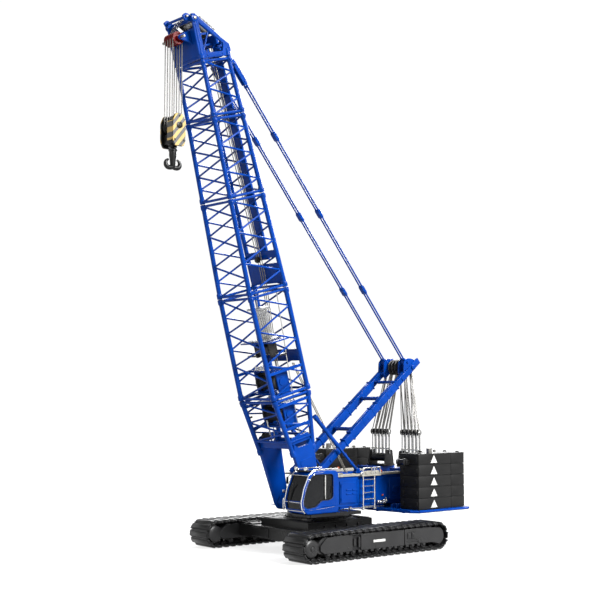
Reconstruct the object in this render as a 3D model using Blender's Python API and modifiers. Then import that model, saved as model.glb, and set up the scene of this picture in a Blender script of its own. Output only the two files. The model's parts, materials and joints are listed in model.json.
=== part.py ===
"""Scale model of a large lattice-boom crawler crane.

+X points forward (the side the boom leans to), +Y to the operator's left, +Z up. The ground is z = 0. Sizes
below are measured from the slewing axis.
"""

import math

import bmesh
import bpy
from mathutils import Vector

MM = 0.001
GAP = 0.3 * MM

# The origin is under the centre of the whole machine, and the slewing axis stands behind it
SLEW_AXIS_X = -31.7 * MM

# Tracks
TRACK_LENGTH = 208 * MM
TRACK_HEIGHT = 30 * MM
TRACK_GAUGE = 164 * MM
SHOE_WIDTH = 34 * MM
SHOE_COUNT = 48
SHOE_SLOT = 2.2 * MM
SHOE_RAISE = 1.4 * MM
BELT_THICKNESS = 2.8 * MM
TRACK_FRAME_WIDTH = 31 * MM
ROLLER_RADIUS = 2.9 * MM
ROLLER_COUNT = 9

# Carbody and slewing ring
CARBODY_FRONT = 58 * MM
CARBODY_REAR = -52 * MM
CARBODY_HALF_WIDTH = 46 * MM
CARBODY_BOTTOM = 12 * MM
CARBODY_TOP = 33 * MM
BEAM_DEPTH = 24 * MM
SLEW_RADIUS = 34 * MM
SLEW_TOP = 43 * MM

# Superstructure
UPPER_BOTTOM = 43.3 * MM
UPPER_REAR = -132 * MM
FRAME_HALF_WIDTH = 24 * MM
HOUSE_SIDE = 38 * MM
HOUSE_TOP = 79 * MM
HOUSE_FRONT = 8 * MM
HOUSE_REAR = -96 * MM

# Cab
CAB_INNER_SIDE = 34.4 * MM
CAB_OUTER_SIDE = 63 * MM
CAB_WALL = 1.8 * MM

# Counterweight
SLAB_COUNT = 5
SLAB_HEIGHT = 11.8 * MM
SLAB_FRONT = -66 * MM
SLAB_REAR = -138 * MM
SLAB_INNER_SIDE = 62 * MM
SLAB_OUTER_SIDE = 91 * MM
TRAY_THICKNESS = 3 * MM
TRAY_TOP = 43.0 * MM

# Boom, in its own frame: x towards its front face, z along it from the foot pin
BOOM_PIN_X = 29 * MM
BOOM_PIN_Z = 50 * MM
BOOM_ANGLE = 74.5
BOOM_JOINTS = (122 * MM, 235 * MM, 338 * MM, 424 * MM, 484 * MM)
BOOM_BAYS = (3, 3, 3, 2)
BOOM_HALF_DEPTHS = ((0, 8 * MM), (62 * MM, 14.2 * MM), (122 * MM, 24 * MM), (235 * MM, 24.4 * MM), (484 * MM, 17 * MM))
BOOM_HALF_WIDTHS = ((0, 28.3 * MM), (122 * MM, 28.3 * MM), (484 * MM, 22.2 * MM))
CHORD_RADIUS = 2.6 * MM
CHORD_SIDES = 8
BRACE_RADIUS = 1.05 * MM
BRACE_SIDES = 5
FRAME_BAR_RADIUS = 1.5 * MM
FOOT_PLATE_THICKNESS = 5 * MM
FOOT_PIN_RADIUS = 2.6 * MM
WALKWAY_START = 266 * MM
WALKWAY_HALF_WIDTH = 7 * MM

# Boom head, in the boom's frame
HEAD_REAR_BAR_INSET = 4.5 * MM
HEAD_SHEAVE_X = 31 * MM
HEAD_SHEAVE_Z = 510 * MM
HEAD_SHEAVE_RADIUS = 6.6 * MM
HEAD_SHEAVE_COUNT = 4
HEAD_SHEAVE_PITCH = 4.6 * MM
PENDANT_TOP_X = -18.6 * MM
PENDANT_TOP_Z = 493 * MM

# Winch drums inside the lower boom
DRUM_FLANGE_RADIUS = 10 * MM
DRUM_HEIGHTS = (101 * MM, BOOM_JOINTS[0] + DRUM_FLANGE_RADIUS + 5 * MM)
DRUM_BARREL_RADIUS = 7 * MM
DRUM_HALF_LENGTH = 16 * MM
CHEEK_Y = 17 * MM

# Mast, in its own frame: z along it from its foot pin, +x towards its upper side
MAST_PIN_X = 17 * MM
MAST_PIN_Z = 84 * MM
MAST_ANGLE = 39.0
MAST_LEG_Y = 20.6 * MM
MAST_SHEAVE_Z = 184 * MM
MAST_PENDANT_X = 9 * MM
MAST_PENDANT_Z = 182 * MM

# Pendants
PENDANT_Y = 16.6 * MM
PENDANT_ROD_OFFSET = 1.9 * MM
PENDANT_ROD_RADIUS = 0.9 * MM
PENDANT_EYE_RADIUS = 3.4 * MM
PENDANT_PIN_RADIUS = 1.5 * MM

# Hook and its rope falls
FALL_RADIUS = 0.6 * MM
FALL_COUNT = 4
BLOCK_TOP = 453 * MM
BLOCK_HALF_WIDTH = 12 * MM

# Mast-hoist reeving stands on the rear of the superstructure
STAND_X = -120 * MM
STAND_Y = 25 * MM
STAND_ROW_Z = 124 * MM

for old in list(bpy.data.objects):
    bpy.data.objects.remove(old)
crane = bpy.data.collections.new("crawler_crane")
helpers = bpy.data.collections.new("helpers")
helpers.hide_render = True
bpy.context.scene.collection.children.link(crane)
bpy.context.scene.collection.children.link(helpers)

PAINTS = {
    "blue": ((0.01, 0.06, 0.45), 0.1, 0.35),
    "black": ((0.02, 0.02, 0.022), 0.1, 0.55),
    "charcoal": ((0.045, 0.045, 0.048), 0.0, 0.6),
    "silver": ((0.6, 0.6, 0.58), 0.9, 0.35),
    "red": ((0.35, 0.02, 0.02), 0.1, 0.4),
    "beige": ((0.55, 0.52, 0.45), 0.0, 0.6),
}
base = bpy.data.objects.new("slewing_axis", None)
base.location.x = SLEW_AXIS_X
crane.objects.link(base)
materials = {}
for paint, (colour, metallic, roughness) in PAINTS.items():
    material = bpy.data.materials.new(paint)
    material.use_nodes = True
    shader = material.node_tree.nodes["Principled BSDF"]
    shader.inputs["Base Color"].default_value = (*colour, 1)
    shader.inputs["Metallic"].default_value = metallic
    shader.inputs["Roughness"].default_value = roughness
    materials[paint] = material


def box(x0, x1, y0, y1, z0, z1):
    """Vertices and faces of a box between two corners."""
    verts = [(x, y, z) for z in (z0, z1) for x, y in ((x0, y0), (x1, y0), (x1, y1), (x0, y1))]
    faces = [(3, 2, 1, 0), (4, 5, 6, 7), (0, 1, 5, 4), (1, 2, 6, 5), (2, 3, 7, 6), (3, 0, 4, 7)]
    return verts, faces


def prism(outline, y0, y1):
    """An outline of (x, z) points, carried along y."""
    count = len(outline)
    verts = [(x, y0, z) for x, z in outline] + [(x, y1, z) for x, z in outline]
    sides = [(i, (i + 1) % count, count + (i + 1) % count, count + i) for i in range(count)]
    return verts, [tuple(range(count))[::-1], tuple(range(count, 2 * count)), *sides]


def sweep(points, radii, sides=8, turn=0.5):
    """A round bar along a line of points, with one radius for each point."""
    points = [Vector(p) for p in points]
    verts = []
    ahead = points[1] - points[0]
    across = ahead.orthogonal().normalized()
    if abs(ahead.normalized().y) < 0.95:
        across = ahead.cross(Vector((0, 1, 0))).normalized()
    for i, point in enumerate(points):
        before = (point - points[i - 1]).normalized() if i else (points[1] - point).normalized()
        after = (points[i + 1] - point).normalized() if i + 1 < len(points) else before
        ahead = (before + after).normalized()
        across = (across - ahead * across.dot(ahead)).normalized()
        up = ahead.cross(across)
        for k in range(sides):
            angle = 2 * math.pi * (k + turn) / sides
            verts.append(tuple(point + radii[i] * (math.cos(angle) * across + math.sin(angle) * up)))
    faces = [tuple(range(sides))[::-1], tuple(range(len(verts) - sides, len(verts)))]
    for i in range(len(points) - 1):
        for k in range(sides):
            a, b = i * sides + k, i * sides + (k + 1) % sides
            faces.append((a, b, b + sides, a + sides))
    return verts, faces


def bar(a, b, radius, sides=6):
    return sweep((a, b), (radius, radius), sides)


def disc(x, z, y0, y1, radius, sides=24):
    """A cylinder across the machine, along y."""
    return sweep(((x, y0, z), (x, y1, z)), (radius, radius), sides)


def mirrored(solid):
    """The same solid on the other side of the machine."""
    verts, faces = solid
    return [(x, -y, z) for x, y, z in verts], [face[::-1] for face in faces]


def both(solid):
    return [solid, mirrored(solid)]


def mesh_object(name, solid, collection, parent=None):
    mesh = bpy.data.meshes.new(name)
    mesh.from_pydata(solid[0], [], solid[1])
    work = bmesh.new()
    work.from_mesh(mesh)
    bmesh.ops.recalc_face_normals(work, faces=work.faces)
    work.to_mesh(mesh)
    work.free()
    made = bpy.data.objects.new(name, mesh)
    collection.objects.link(made)
    made.parent = parent or base
    return made


def node(name, paint, solids, parent=None, cuts=(), bevel=0.0):
    """One node: the union of the solids less the cuts. A mesh is given in its parent's frame."""
    made = mesh_object(name, solids[0], crane, parent)
    made.data.materials.append(materials[paint])
    for label, operation, operands in (("join", "UNION", solids[1:]), ("cut", "DIFFERENCE", cuts)):
        if not operands:
            continue
        group = bpy.data.collections.new(f"{name}_{label}")
        helpers.children.link(group)
        for i, operand in enumerate(operands):
            helper = mesh_object(f"{name}_{label}_{i}", operand, group, parent)
            helper.hide_render = True
            helper.display_type = "WIRE"
        modifier = made.modifiers.new(label, "BOOLEAN")
        modifier.operation = operation
        modifier.operand_type = "COLLECTION"
        modifier.collection = group
        modifier.solver = "EXACT"
        modifier.use_self = True
    if bevel:
        modifier = made.modifiers.new("bevel", "BEVEL")
        modifier.width = bevel
        modifier.segments = 1
        modifier.limit_method = "ANGLE"
        modifier.angle_limit = math.radians(50)
    return made


def pivot(name, x, z, lean, y=0.0):
    """An empty on a joint axis, its z turned from vertical towards +x by lean degrees."""
    made = bpy.data.objects.new(name, None)
    made.location = (x, y, z)
    made.rotation_euler = (0, math.radians(lean), 0)
    made.parent = base
    crane.objects.link(made)
    return made


def between(table, at):
    """Straight-line values between the (position, value) pairs of a table."""
    for (x0, v0), (x1, v1) in zip(table, table[1:]):
        if at <= x1:
            return v0 + (v1 - v0) * (at - x0) / (x1 - x0)
    return table[-1][1]


# Tracks: one closed belt each, its shoes in the outline

def loop_point(distance, offset):
    """A point of the track's loop, a distance along its outer edge and an offset inside it."""
    outer = TRACK_HEIGHT / 2
    straight = TRACK_LENGTH - TRACK_HEIGHT
    turn = math.pi * outer
    distance %= 2 * (straight + turn)
    radius = outer - offset
    if distance < straight:
        return distance - straight / 2, outer - radius
    distance -= straight
    if distance < turn:
        angle = distance / outer
        return straight / 2 + radius * math.sin(angle), outer - radius * math.cos(angle)
    distance -= turn
    if distance < straight:
        return straight / 2 - distance, outer + radius
    angle = (distance - straight) / outer
    return -straight / 2 - radius * math.sin(angle), outer + radius * math.cos(angle)


def track(name, side):
    perimeter = 2 * (TRACK_LENGTH - TRACK_HEIGHT) + math.pi * TRACK_HEIGHT
    pitch = perimeter / SHOE_COUNT
    outline = []
    for i in range(SHOE_COUNT):
        start, end = i * pitch + SHOE_SLOT / 2, (i + 1) * pitch - SHOE_SLOT / 2
        outline += [loop_point(start, SHOE_RAISE), loop_point(start, 0), loop_point(end, 0), loop_point(end, SHOE_RAISE)]
    inner_offset = SHOE_RAISE + BELT_THICKNESS
    straight, turn = TRACK_LENGTH - TRACK_HEIGHT, math.pi * TRACK_HEIGHT / 2
    stops = [0] + [straight + turn * k / 10 for k in range(11)] + [2 * straight + turn + turn * k / 10 for k in range(10)]
    inner = [loop_point(stop, inner_offset) for stop in stops]
    y0 = side * TRACK_GAUGE / 2 - SHOE_WIDTH / 2
    return node(name, "black", [prism(outline, y0, y0 + SHOE_WIDTH)], cuts=[prism(inner, y0 - MM, y0 + SHOE_WIDTH + MM)])


def track_frame(name, side):
    centre = TRACK_HEIGHT / 2
    end = TRACK_LENGTH / 2 - centre
    inside = centre - SHOE_RAISE - BELT_THICKNESS - GAP
    y0, y1 = side * TRACK_GAUGE / 2 - TRACK_FRAME_WIDTH / 2, side * TRACK_GAUGE / 2 + TRACK_FRAME_WIDTH / 2
    front, rear = end - 5 * MM, 5 * MM - end
    plate = [
        (rear + 2 * MM, 9 * MM),
        (front - 4 * MM, 9 * MM),
        (front, 12 * MM),
        (front, 18 * MM),
        (front - 10 * MM, 25.2 * MM),
        (rear + 8 * MM, 25.2 * MM),
        (rear, 18 * MM),
        (rear, 12 * MM),
    ]
    solids = [prism(plate, y0, y1)]
    for x, inset in ((end, 0.8 * MM), (-end, 2.2 * MM)):
        solids.append(disc(x, centre, y0 + inset, y1 - inset, inside, 32))
    for i in range(ROLLER_COUNT):
        x = (i - (ROLLER_COUNT - 1) / 2) * 17 * MM
        solids.append(disc(x, 4.5 * MM + ROLLER_RADIUS, y0 + MM, y1 - MM, ROLLER_RADIUS, 10))
    return node(name, "black", solids)


for side, label in ((1, "left"), (-1, "right")):
    track(f"track_{label}", side)
    track_frame(f"track_frame_{label}", side)

beam_end = TRACK_GAUGE / 2 - TRACK_FRAME_WIDTH / 2 - GAP
carbody_outline = [
    (CARBODY_FRONT, -beam_end),
    (CARBODY_FRONT, beam_end),
    (CARBODY_FRONT - BEAM_DEPTH, beam_end),
    (CARBODY_FRONT - BEAM_DEPTH - 8 * MM, CARBODY_HALF_WIDTH),
    (CARBODY_REAR + BEAM_DEPTH + 8 * MM, CARBODY_HALF_WIDTH),
    (CARBODY_REAR + BEAM_DEPTH, beam_end),
    (CARBODY_REAR, beam_end),
    (CARBODY_REAR, -beam_end),
    (CARBODY_REAR + BEAM_DEPTH, -beam_end),
    (CARBODY_REAR + BEAM_DEPTH + 8 * MM, -CARBODY_HALF_WIDTH),
    (CARBODY_FRONT - BEAM_DEPTH - 8 * MM, -CARBODY_HALF_WIDTH),
    (CARBODY_FRONT - BEAM_DEPTH, -beam_end),
]
count = len(carbody_outline)
levels = ((CARBODY_BOTTOM, 0), (CARBODY_TOP - 8 * MM, 0))
plate_verts = [(x, y, z) for z, _ in levels for x, y in carbody_outline]
plate_faces = [tuple(range(count))[::-1], tuple(range(count, 2 * count))]
plate_faces += [(i, (i + 1) % count, count + (i + 1) % count, count + i) for i in range(count)]
ring_base = sweep(((0, 0, CARBODY_BOTTOM + MM), (0, 0, CARBODY_TOP + 2 * MM)), (44 * MM, 38 * MM), 40)
node(
    "carbody",
    "black",
    [
        (plate_verts, plate_faces),
        box(-44 * MM, 48 * MM, -40 * MM, 40 * MM, CARBODY_BOTTOM + 2 * MM, CARBODY_TOP),
        ring_base,
    ],
)
node(
    "slewing_ring",
    "black",
    [
        sweep(((0, 0, CARBODY_TOP + 2.3 * MM), (0, 0, SLEW_TOP - 3 * MM)), (SLEW_RADIUS, SLEW_RADIUS), 48),
        sweep(((0, 0, CARBODY_TOP + 6 * MM), (0, 0, SLEW_TOP)), (SLEW_RADIUS - 2 * MM, SLEW_RADIUS - 2 * MM), 48),
    ],
)

# Superstructure

frame_solids = [
    box(UPPER_REAR, HOUSE_FRONT + 6 * MM, -FRAME_HALF_WIDTH, FRAME_HALF_WIDTH, UPPER_BOTTOM, 58 * MM),
    box(UPPER_REAR + 2 * MM, -62 * MM, -FRAME_HALF_WIDTH + MM, FRAME_HALF_WIDTH - MM, 50 * MM, 76 * MM),
    box(-34 * MM, 17 * MM, -34 * MM, 34 * MM, UPPER_BOTTOM, 46.6 * MM),
]
lug = [(2, 44), (36, 44), (39, 50), (34, 57), (26, 60), (22, 76), (21, 88), (17, 90), (13, 88), (10, 76), (-6, 58), (-8, 46)]
frame_solids += both(prism([(x * MM, z * MM) for x, z in lug], 10.6 * MM, 15 * MM))
front_lug = [(0, 44), (34, 44), (38, 50), (34, 57), (0, 57)]
frame_solids += both(prism([(x * MM, z * MM) for x, z in front_lug], 17 * MM, FRAME_HALF_WIDTH))
cab_floor = box(-8 * MM, 62 * MM, 34.6 * MM, 61 * MM, 41.4 * MM, 44.2 * MM)
frame_solids += [cab_floor, box(-8 * MM, 12 * MM, 20 * MM, 36 * MM, UPPER_BOTTOM, 46.6 * MM)]
frame_solids += both(box(-64 * MM, 0, 20 * MM, HOUSE_SIDE - MM, UPPER_BOTTOM, 46.6 * MM))
frame_solids += both(box(UPPER_REAR, -96.6 * MM, 14 * MM, 44 * MM, UPPER_BOTTOM, 84 * MM))
node(
    "superstructure_frame",
    "blue",
    frame_solids,
    cuts=[
        disc(BOOM_PIN_X, BOOM_PIN_Z, -40 * MM, 40 * MM, FOOT_PIN_RADIUS + GAP, 20),
        disc(MAST_PIN_X, MAST_PIN_Z, -40 * MM, 40 * MM, 2.3 * MM, 16),
    ],
)

house_outline = [
    (HOUSE_REAR, 47 * MM),
    (HOUSE_FRONT, 47 * MM),
    (HOUSE_FRONT, HOUSE_TOP - 3 * MM),
    (HOUSE_FRONT - 3 * MM, HOUSE_TOP),
    (HOUSE_REAR, HOUSE_TOP),
]
for side, label in ((1, "left"), (-1, "right")):
    y0, y1 = sorted((side * (FRAME_HALF_WIDTH + GAP), side * HOUSE_SIDE))
    step0, step1 = sorted((side * (HOUSE_SIDE - MM), side * (HOUSE_SIDE + MM)))
    node(
        f"machinery_house_{label}",
        "blue",
        [
            prism(house_outline, y0, y1),
            box(-92 * MM, -50 * MM, step0, step1, 50 * MM, HOUSE_TOP - 3 * MM),
            box(-22 * MM, 2 * MM, step0, step1, 50 * MM, HOUSE_TOP - 5 * MM),
        ],
    )
    strip0, strip1 = sorted((side * 27 * MM, side * (HOUSE_SIDE + 2 * MM)))
    node(
        f"deck_walkway_{label}",
        "beige",
        [box(HOUSE_REAR, 20 * MM, strip0, strip1, HOUSE_TOP + GAP, HOUSE_TOP + 2 * MM)],
    )

# Cab: a hollow shell with its windows cut through, on a floor carried beside the boom foot

cab_outline = [(25, 44.6), (69, 44.6), (75.4, 51), (76, 57), (72.4, 71), (65, 86), (60, 89), (28, 89), (25, 86)]
cab_inside = [(27, 46.6), (68, 46.6), (73.4, 52), (74, 57), (70.4, 70.4), (63.4, 84.6), (59.4, 87), (29, 87), (27, 85)]
side_window = [(36, 61), (40, 58.6), (52, 58.6), (58, 52.4), (66, 50.6), (69.6, 53), (70, 58), (66.6, 70), (60.8, 82), (58, 84), (38, 84), (36, 82)]
rear_window = [(20, 62), (32, 62), (32, 84), (20, 84)]
windscreen = [(66, 58), (80, 58), (80, 70), (70, 90), (60.2, 83.6)]
lower_window = [(66, 49), (80, 49), (80, 55.4), (66, 55.4)]


def scaled(points):
    return [(x * MM, z * MM) for x, z in points]


inner_y, outer_y = CAB_INNER_SIDE + CAB_WALL, CAB_OUTER_SIDE - CAB_WALL
node(
    "cab_shell",
    "blue",
    [prism(scaled(cab_outline), CAB_INNER_SIDE, CAB_OUTER_SIDE)],
    cuts=[
        prism(scaled(cab_inside), inner_y, outer_y),
        prism(scaled(side_window), CAB_INNER_SIDE - MM, CAB_OUTER_SIDE + MM),
        prism(scaled(windscreen), inner_y + 0.6 * MM, outer_y - 0.6 * MM),
        prism(scaled(lower_window), inner_y + 1.6 * MM, outer_y - 1.6 * MM),
        prism(scaled(rear_window), inner_y + 4 * MM, outer_y - 4 * MM),
    ],
)
seat_outline = [(36, 46.9), (50, 46.9), (50, 57), (53, 58), (53, 61), (42, 61), (39.6, 76), (36.4, 76), (37, 58), (36, 57)]
node("cab_seat", "charcoal", [prism(scaled(seat_outline), 43 * MM, 54 * MM)])

# Ladder, landing and hand rails on the left side

rail, rung = 0.75 * MM, 0.6 * MM
ladder = [bar((x, 43.4 * MM, 44 * MM), (x, 43.4 * MM, 88 * MM), rail) for x in (-28 * MM, -45 * MM)]
ladder += [bar((-28 * MM, 43.4 * MM, z * MM), (-45 * MM, 43.4 * MM, z * MM), rung) for z in (46, 54, 61, 68, 75)]
ladder.append(box(-54 * MM, -26 * MM, 40.4 * MM, 44 * MM, 78.6 * MM, 80.4 * MM))
ladder += [bar((-54 * MM, 43.4 * MM, 80 * MM), (-54 * MM, 43.4 * MM, 88 * MM), rail)]
ladder += [bar((-54 * MM, 43.4 * MM, 87.6 * MM), (-27.6 * MM, 43.4 * MM, 87.6 * MM), rail)]
node("ladder_and_rails", "silver", [ladder[5 + 2], *ladder[:7], *ladder[8:]])

# Counterweight: a tray across the rear and a stack of slabs on each side

tray = [(-146, 90), (-142, 93), (-64, 93), (-58, 86), (-50, 30), (-50, -30), (-58, -86), (-64, -93), (-142, -93), (-146, -90)]
count = len(tray)
tray_verts = [(x * MM, y * MM, z) for z in (TRAY_TOP - TRAY_THICKNESS, TRAY_TOP) for x, y in tray]
tray_faces = [tuple(range(count)), tuple(range(2 * count - 1, count - 1, -1))]
tray_faces += [(i, count + i, count + (i + 1) % count, (i + 1) % count) for i in range(count)]
node("counterweight_tray", "blue", [(tray_verts, tray_faces)])
for side, label in ((1, "left"), (-1, "right")):
    for level in range(SLAB_COUNT):
        z0 = TRAY_TOP + GAP + level * (SLAB_HEIGHT + GAP)
        y0, y1 = sorted((side * SLAB_INNER_SIDE, side * SLAB_OUTER_SIDE))
        node(
            f"counterweight_slab_{label}_{level + 1}",
            "charcoal",
            [box(SLAB_REAR, SLAB_FRONT, y0, y1, z0, z0 + SLAB_HEIGHT)],
            bevel=0.8 * MM,
        )

# Boom backstops, standing on the deck behind the boom

for side, label in ((1, "left"), (-1, "right")):
    foot = Vector((-31 * MM, side * 30 * MM, 85 * MM))
    head = Vector((29.4 * MM, side * 28.3 * MM, 145 * MM))
    middle = foot.lerp(head, 0.52)
    node(
        f"boom_backstop_{label}",
        "blue",
        [
            bar(foot, middle, 1.5 * MM, 8),
            bar(foot.lerp(head, 0.5), head, 2.3 * MM, 8),
            box(foot.x - 4 * MM, foot.x + 4 * MM, foot.y - 3 * MM, foot.y + 3 * MM, HOUSE_TOP + 2.3 * MM, 85.5 * MM),
        ],
    )

# Mast-hoist reeving stands

for side, label in ((1, "left"), (-1, "right")):
    y = side * STAND_Y
    solids = [box(STAND_X - 9 * MM, STAND_X + 9 * MM, y - 15 * MM, y + 15 * MM, 84.3 * MM, 92 * MM)]
    solids += [disc(STAND_X, 97 * MM, y - 14 * MM, y + 14 * MM, 7.5 * MM, 18)]
    for k in range(5):
        at = y + (k - 2) * 6 * MM
        solids.append(bar((STAND_X, at, 100 * MM), (STAND_X, at, STAND_ROW_Z), 1.0 * MM))
        solids.append(disc(STAND_X, STAND_ROW_Z, at - 1.6 * MM, at + 1.6 * MM, 3.4 * MM, 10))
    solids.append(disc(STAND_X, STAND_ROW_Z, y - 14.6 * MM, y + 14.6 * MM, 1.5 * MM, 8))
    node(f"reeving_stand_{label}", "silver", solids)

# Boom

boom = pivot("boom_pin", BOOM_PIN_X, BOOM_PIN_Z, 90 - BOOM_ANGLE)


def corner(front, left, z):
    """A point on one of the boom's four chords. front and left are 1 or -1."""
    return Vector((front * between(BOOM_HALF_DEPTHS, z), left * between(BOOM_HALF_WIDTHS, z), z))


CORNERS = ((1, -1), (1, 1), (-1, 1), (-1, -1))


def chords(z0, z1, radius):
    return [bar(corner(f, s, z0), corner(f, s, z1), radius, CHORD_SIDES) for f, s in CORNERS]


def frame_at(z, radius=FRAME_BAR_RADIUS):
    """Four bars round the boom, joining its chords."""
    points = [corner(f, s, z) for f, s in CORNERS]
    return [bar(points[i], points[(i + 1) % 4], radius, BRACE_SIDES) for i in range(4)]


def lacing(z0, z1, bays):
    """A zigzag on each face, its ends meeting on alternate chords."""
    step = (z1 - z0) / bays
    bars = []
    for i in range(4):
        first, second = CORNERS[i], CORNERS[(i + 1) % 4]
        for k in range(bays):
            low, middle, high = z0 + k * step, z0 + (k + 0.5) * step, z0 + (k + 1) * step
            bars.append(bar(corner(*first, low), corner(*second, middle), BRACE_RADIUS, BRACE_SIDES))
            bars.append(bar(corner(*second, middle), corner(*first, high), BRACE_RADIUS, BRACE_SIDES))
    return bars


def cradle(z):
    """Two cheek plates and two cross plates that carry a winch drum in the boom."""
    half, reach = between(BOOM_HALF_WIDTHS, z), DRUM_FLANGE_RADIUS + 4 * MM
    solids = [box(-9 * MM, 7 * MM, CHEEK_Y, CHEEK_Y + 2 * MM, z - reach, z + reach)]
    solids.append(mirrored(solids[0]))
    for end in (-reach, reach - 2.4 * MM):
        solids.append(box(-8 * MM, 6 * MM, -half, half, z + end, z + end + 2.4 * MM))
    for end in (1.2 * MM - reach, reach - 1.2 * MM):
        deep = between(BOOM_HALF_DEPTHS, z + end)
        solids += both(box(-deep, deep, half - 1.2 * MM, half + 1.2 * MM, z + end - 1.6 * MM, z + end + 1.6 * MM))
    return solids


foot_plate = [(-9, 0), (-6.4, -6.4), (0, -9), (6.4, -6.4), (9, 0), (14.2, 60), (9, 68), (-9, 68), (-14.2, 60)]
plate_y = between(BOOM_HALF_WIDTHS, 0)
foot = both(prism(scaled(foot_plate), plate_y - FOOT_PLATE_THICKNESS / 2, plate_y + FOOT_PLATE_THICKNESS / 2))
foot.append(disc(0, 0, -plate_y, plate_y, FOOT_PIN_RADIUS, 16))
foot += chords(58 * MM, BOOM_JOINTS[0] - 0.8 * MM, CHORD_RADIUS)
foot += frame_at(74 * MM) + frame_at(BOOM_JOINTS[0] - 2.2 * MM)
foot += lacing(74 * MM, BOOM_JOINTS[0] - 4 * MM, 2)
foot += cradle(DRUM_HEIGHTS[0])
drum_bores = [disc(0, z, -30 * MM, 30 * MM, 2.3 * MM, 16) for z in DRUM_HEIGHTS]
node("boom_foot", "blue", foot, boom, cuts=[drum_bores[0]])

for i, bays in enumerate(BOOM_BAYS):
    z0, z1 = BOOM_JOINTS[i], BOOM_JOINTS[i + 1] - GAP
    radius = CHORD_RADIUS - 0.1 * MM * i
    solids = chords(z0, z1, radius)
    solids += frame_at(z0 + 2 * MM) + frame_at(z1 - 2 * MM) + lacing(z0 + 2 * MM, z1 - 2 * MM, bays)
    cuts = ()
    if i == 0:
        solids += cradle(DRUM_HEIGHTS[1])
        cuts = [drum_bores[1]]
    node(f"boom_section_{i + 1}", "blue", solids, boom, cuts=cuts)

rear0 = -between(BOOM_HALF_DEPTHS, WALKWAY_START) - FRAME_BAR_RADIUS - GAP
rear1 = -between(BOOM_HALF_DEPTHS, BOOM_JOINTS[-1]) - FRAME_BAR_RADIUS - GAP
walkway = [(rear0, WALKWAY_START), (rear1, BOOM_JOINTS[-1]), (rear1 - 1.4 * MM, BOOM_JOINTS[-1]), (rear0 - 1.4 * MM, WALKWAY_START)]
node("boom_walkway", "blue", [prism(walkway, -WALKWAY_HALF_WIDTH, WALKWAY_HALF_WIDTH)], boom)

head_z = BOOM_JOINTS[-1]
head_y = between(BOOM_HALF_WIDTHS, head_z)
head_plate = [(20, 485), (19.6, 531), (16, 531), (-12, 508), (-21.8, 496), (-21.8, 490), (-17, 485)]
head_window = [(-9, 490), (6, 490), (10, 496), (2, 504), (-5, 501)]
head = both(prism(scaled(head_plate), head_y - 1.3 * MM, head_y + 1.3 * MM))
head += chords(head_z, head_z + 8 * MM, CHORD_RADIUS)
head_corners = [corner(f, s, head_z + 2 * MM) for f, s in CORNERS]
head_corners[2].x += HEAD_REAR_BAR_INSET
head_corners[3].x += HEAD_REAR_BAR_INSET
head += [bar(head_corners[i], head_corners[(i + 1) % 4], FRAME_BAR_RADIUS, BRACE_SIDES) for i in range(4)]
head += [
    box(15 * MM, 18.4 * MM, -head_y, head_y, 494 * MM, 516 * MM),
    box(14 * MM, 19 * MM, -head_y, head_y, 523 * MM, 528 * MM),
    box(-9 * MM, -6 * MM, -head_y, head_y, 498 * MM, 508 * MM),
]
arm = [(16, 500), (HEAD_SHEAVE_X / MM + 2.6, 506), (HEAD_SHEAVE_X / MM + 2.6, 514), (16, 518)]
head += both(prism(scaled(arm), 11.4 * MM, 13.8 * MM))
head += both(prism(scaled([(-16, 485), (-21.8, 490), (-21.8, 496), (-12, 503), (-7, 503), (-7, 485)]), 11.2 * MM, 13 * MM))
node(
    "boom_head",
    "blue",
    head,
    boom,
    cuts=[
        *both(prism(scaled(head_window), head_y - 4 * MM, head_y + 4 * MM)),
        disc(HEAD_SHEAVE_X, HEAD_SHEAVE_Z, -18 * MM, 18 * MM, 1.8 * MM, 16),
    ],
)
sheaves = [disc(HEAD_SHEAVE_X, HEAD_SHEAVE_Z, -15.4 * MM, 15.4 * MM, 1.5 * MM, 16)]
sheaves.append(disc(HEAD_SHEAVE_X, HEAD_SHEAVE_Z, -10.6 * MM, 10.6 * MM, 3.2 * MM, 16))
for k in range(HEAD_SHEAVE_COUNT):
    y = (k - (HEAD_SHEAVE_COUNT - 1) / 2) * HEAD_SHEAVE_PITCH
    sheaves.append(disc(HEAD_SHEAVE_X, HEAD_SHEAVE_Z, y - 1.5 * MM, y + 1.5 * MM, HEAD_SHEAVE_RADIUS, 18))
node("head_sheaves", "red", sheaves, boom)

guide = [disc(-4 * MM, 520.6 * MM, -9 * MM, 9 * MM, 3.6 * MM, 16), disc(7 * MM, 529 * MM, -9 * MM, 9 * MM, 3.6 * MM, 16)]
guide += both(prism(scaled([(-12, 512), (-8, 524), (8, 535), (13, 531), (13, 524), (-6, 508.3)]), 7.4 * MM, 9.6 * MM))
guide += [box(-9 * MM, -6 * MM, -9 * MM, 9 * MM, 508.3 * MM, 512 * MM)]
node("head_rope_guide", "black", guide, boom)

for i, z in enumerate(DRUM_HEIGHTS):
    drum = [disc(0, z, -DRUM_HALF_LENGTH, DRUM_HALF_LENGTH, DRUM_BARREL_RADIUS, 24)]
    drum.append(disc(0, z, -CHEEK_Y - 2.6 * MM, CHEEK_Y + 2.6 * MM, 2.0 * MM, 16))
    drum += both(disc(0, z, DRUM_HALF_LENGTH - 2 * MM, DRUM_HALF_LENGTH, DRUM_FLANGE_RADIUS, 28))
    node(f"winch_drum_{i + 1}", "black", drum, boom)

# Mast

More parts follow.
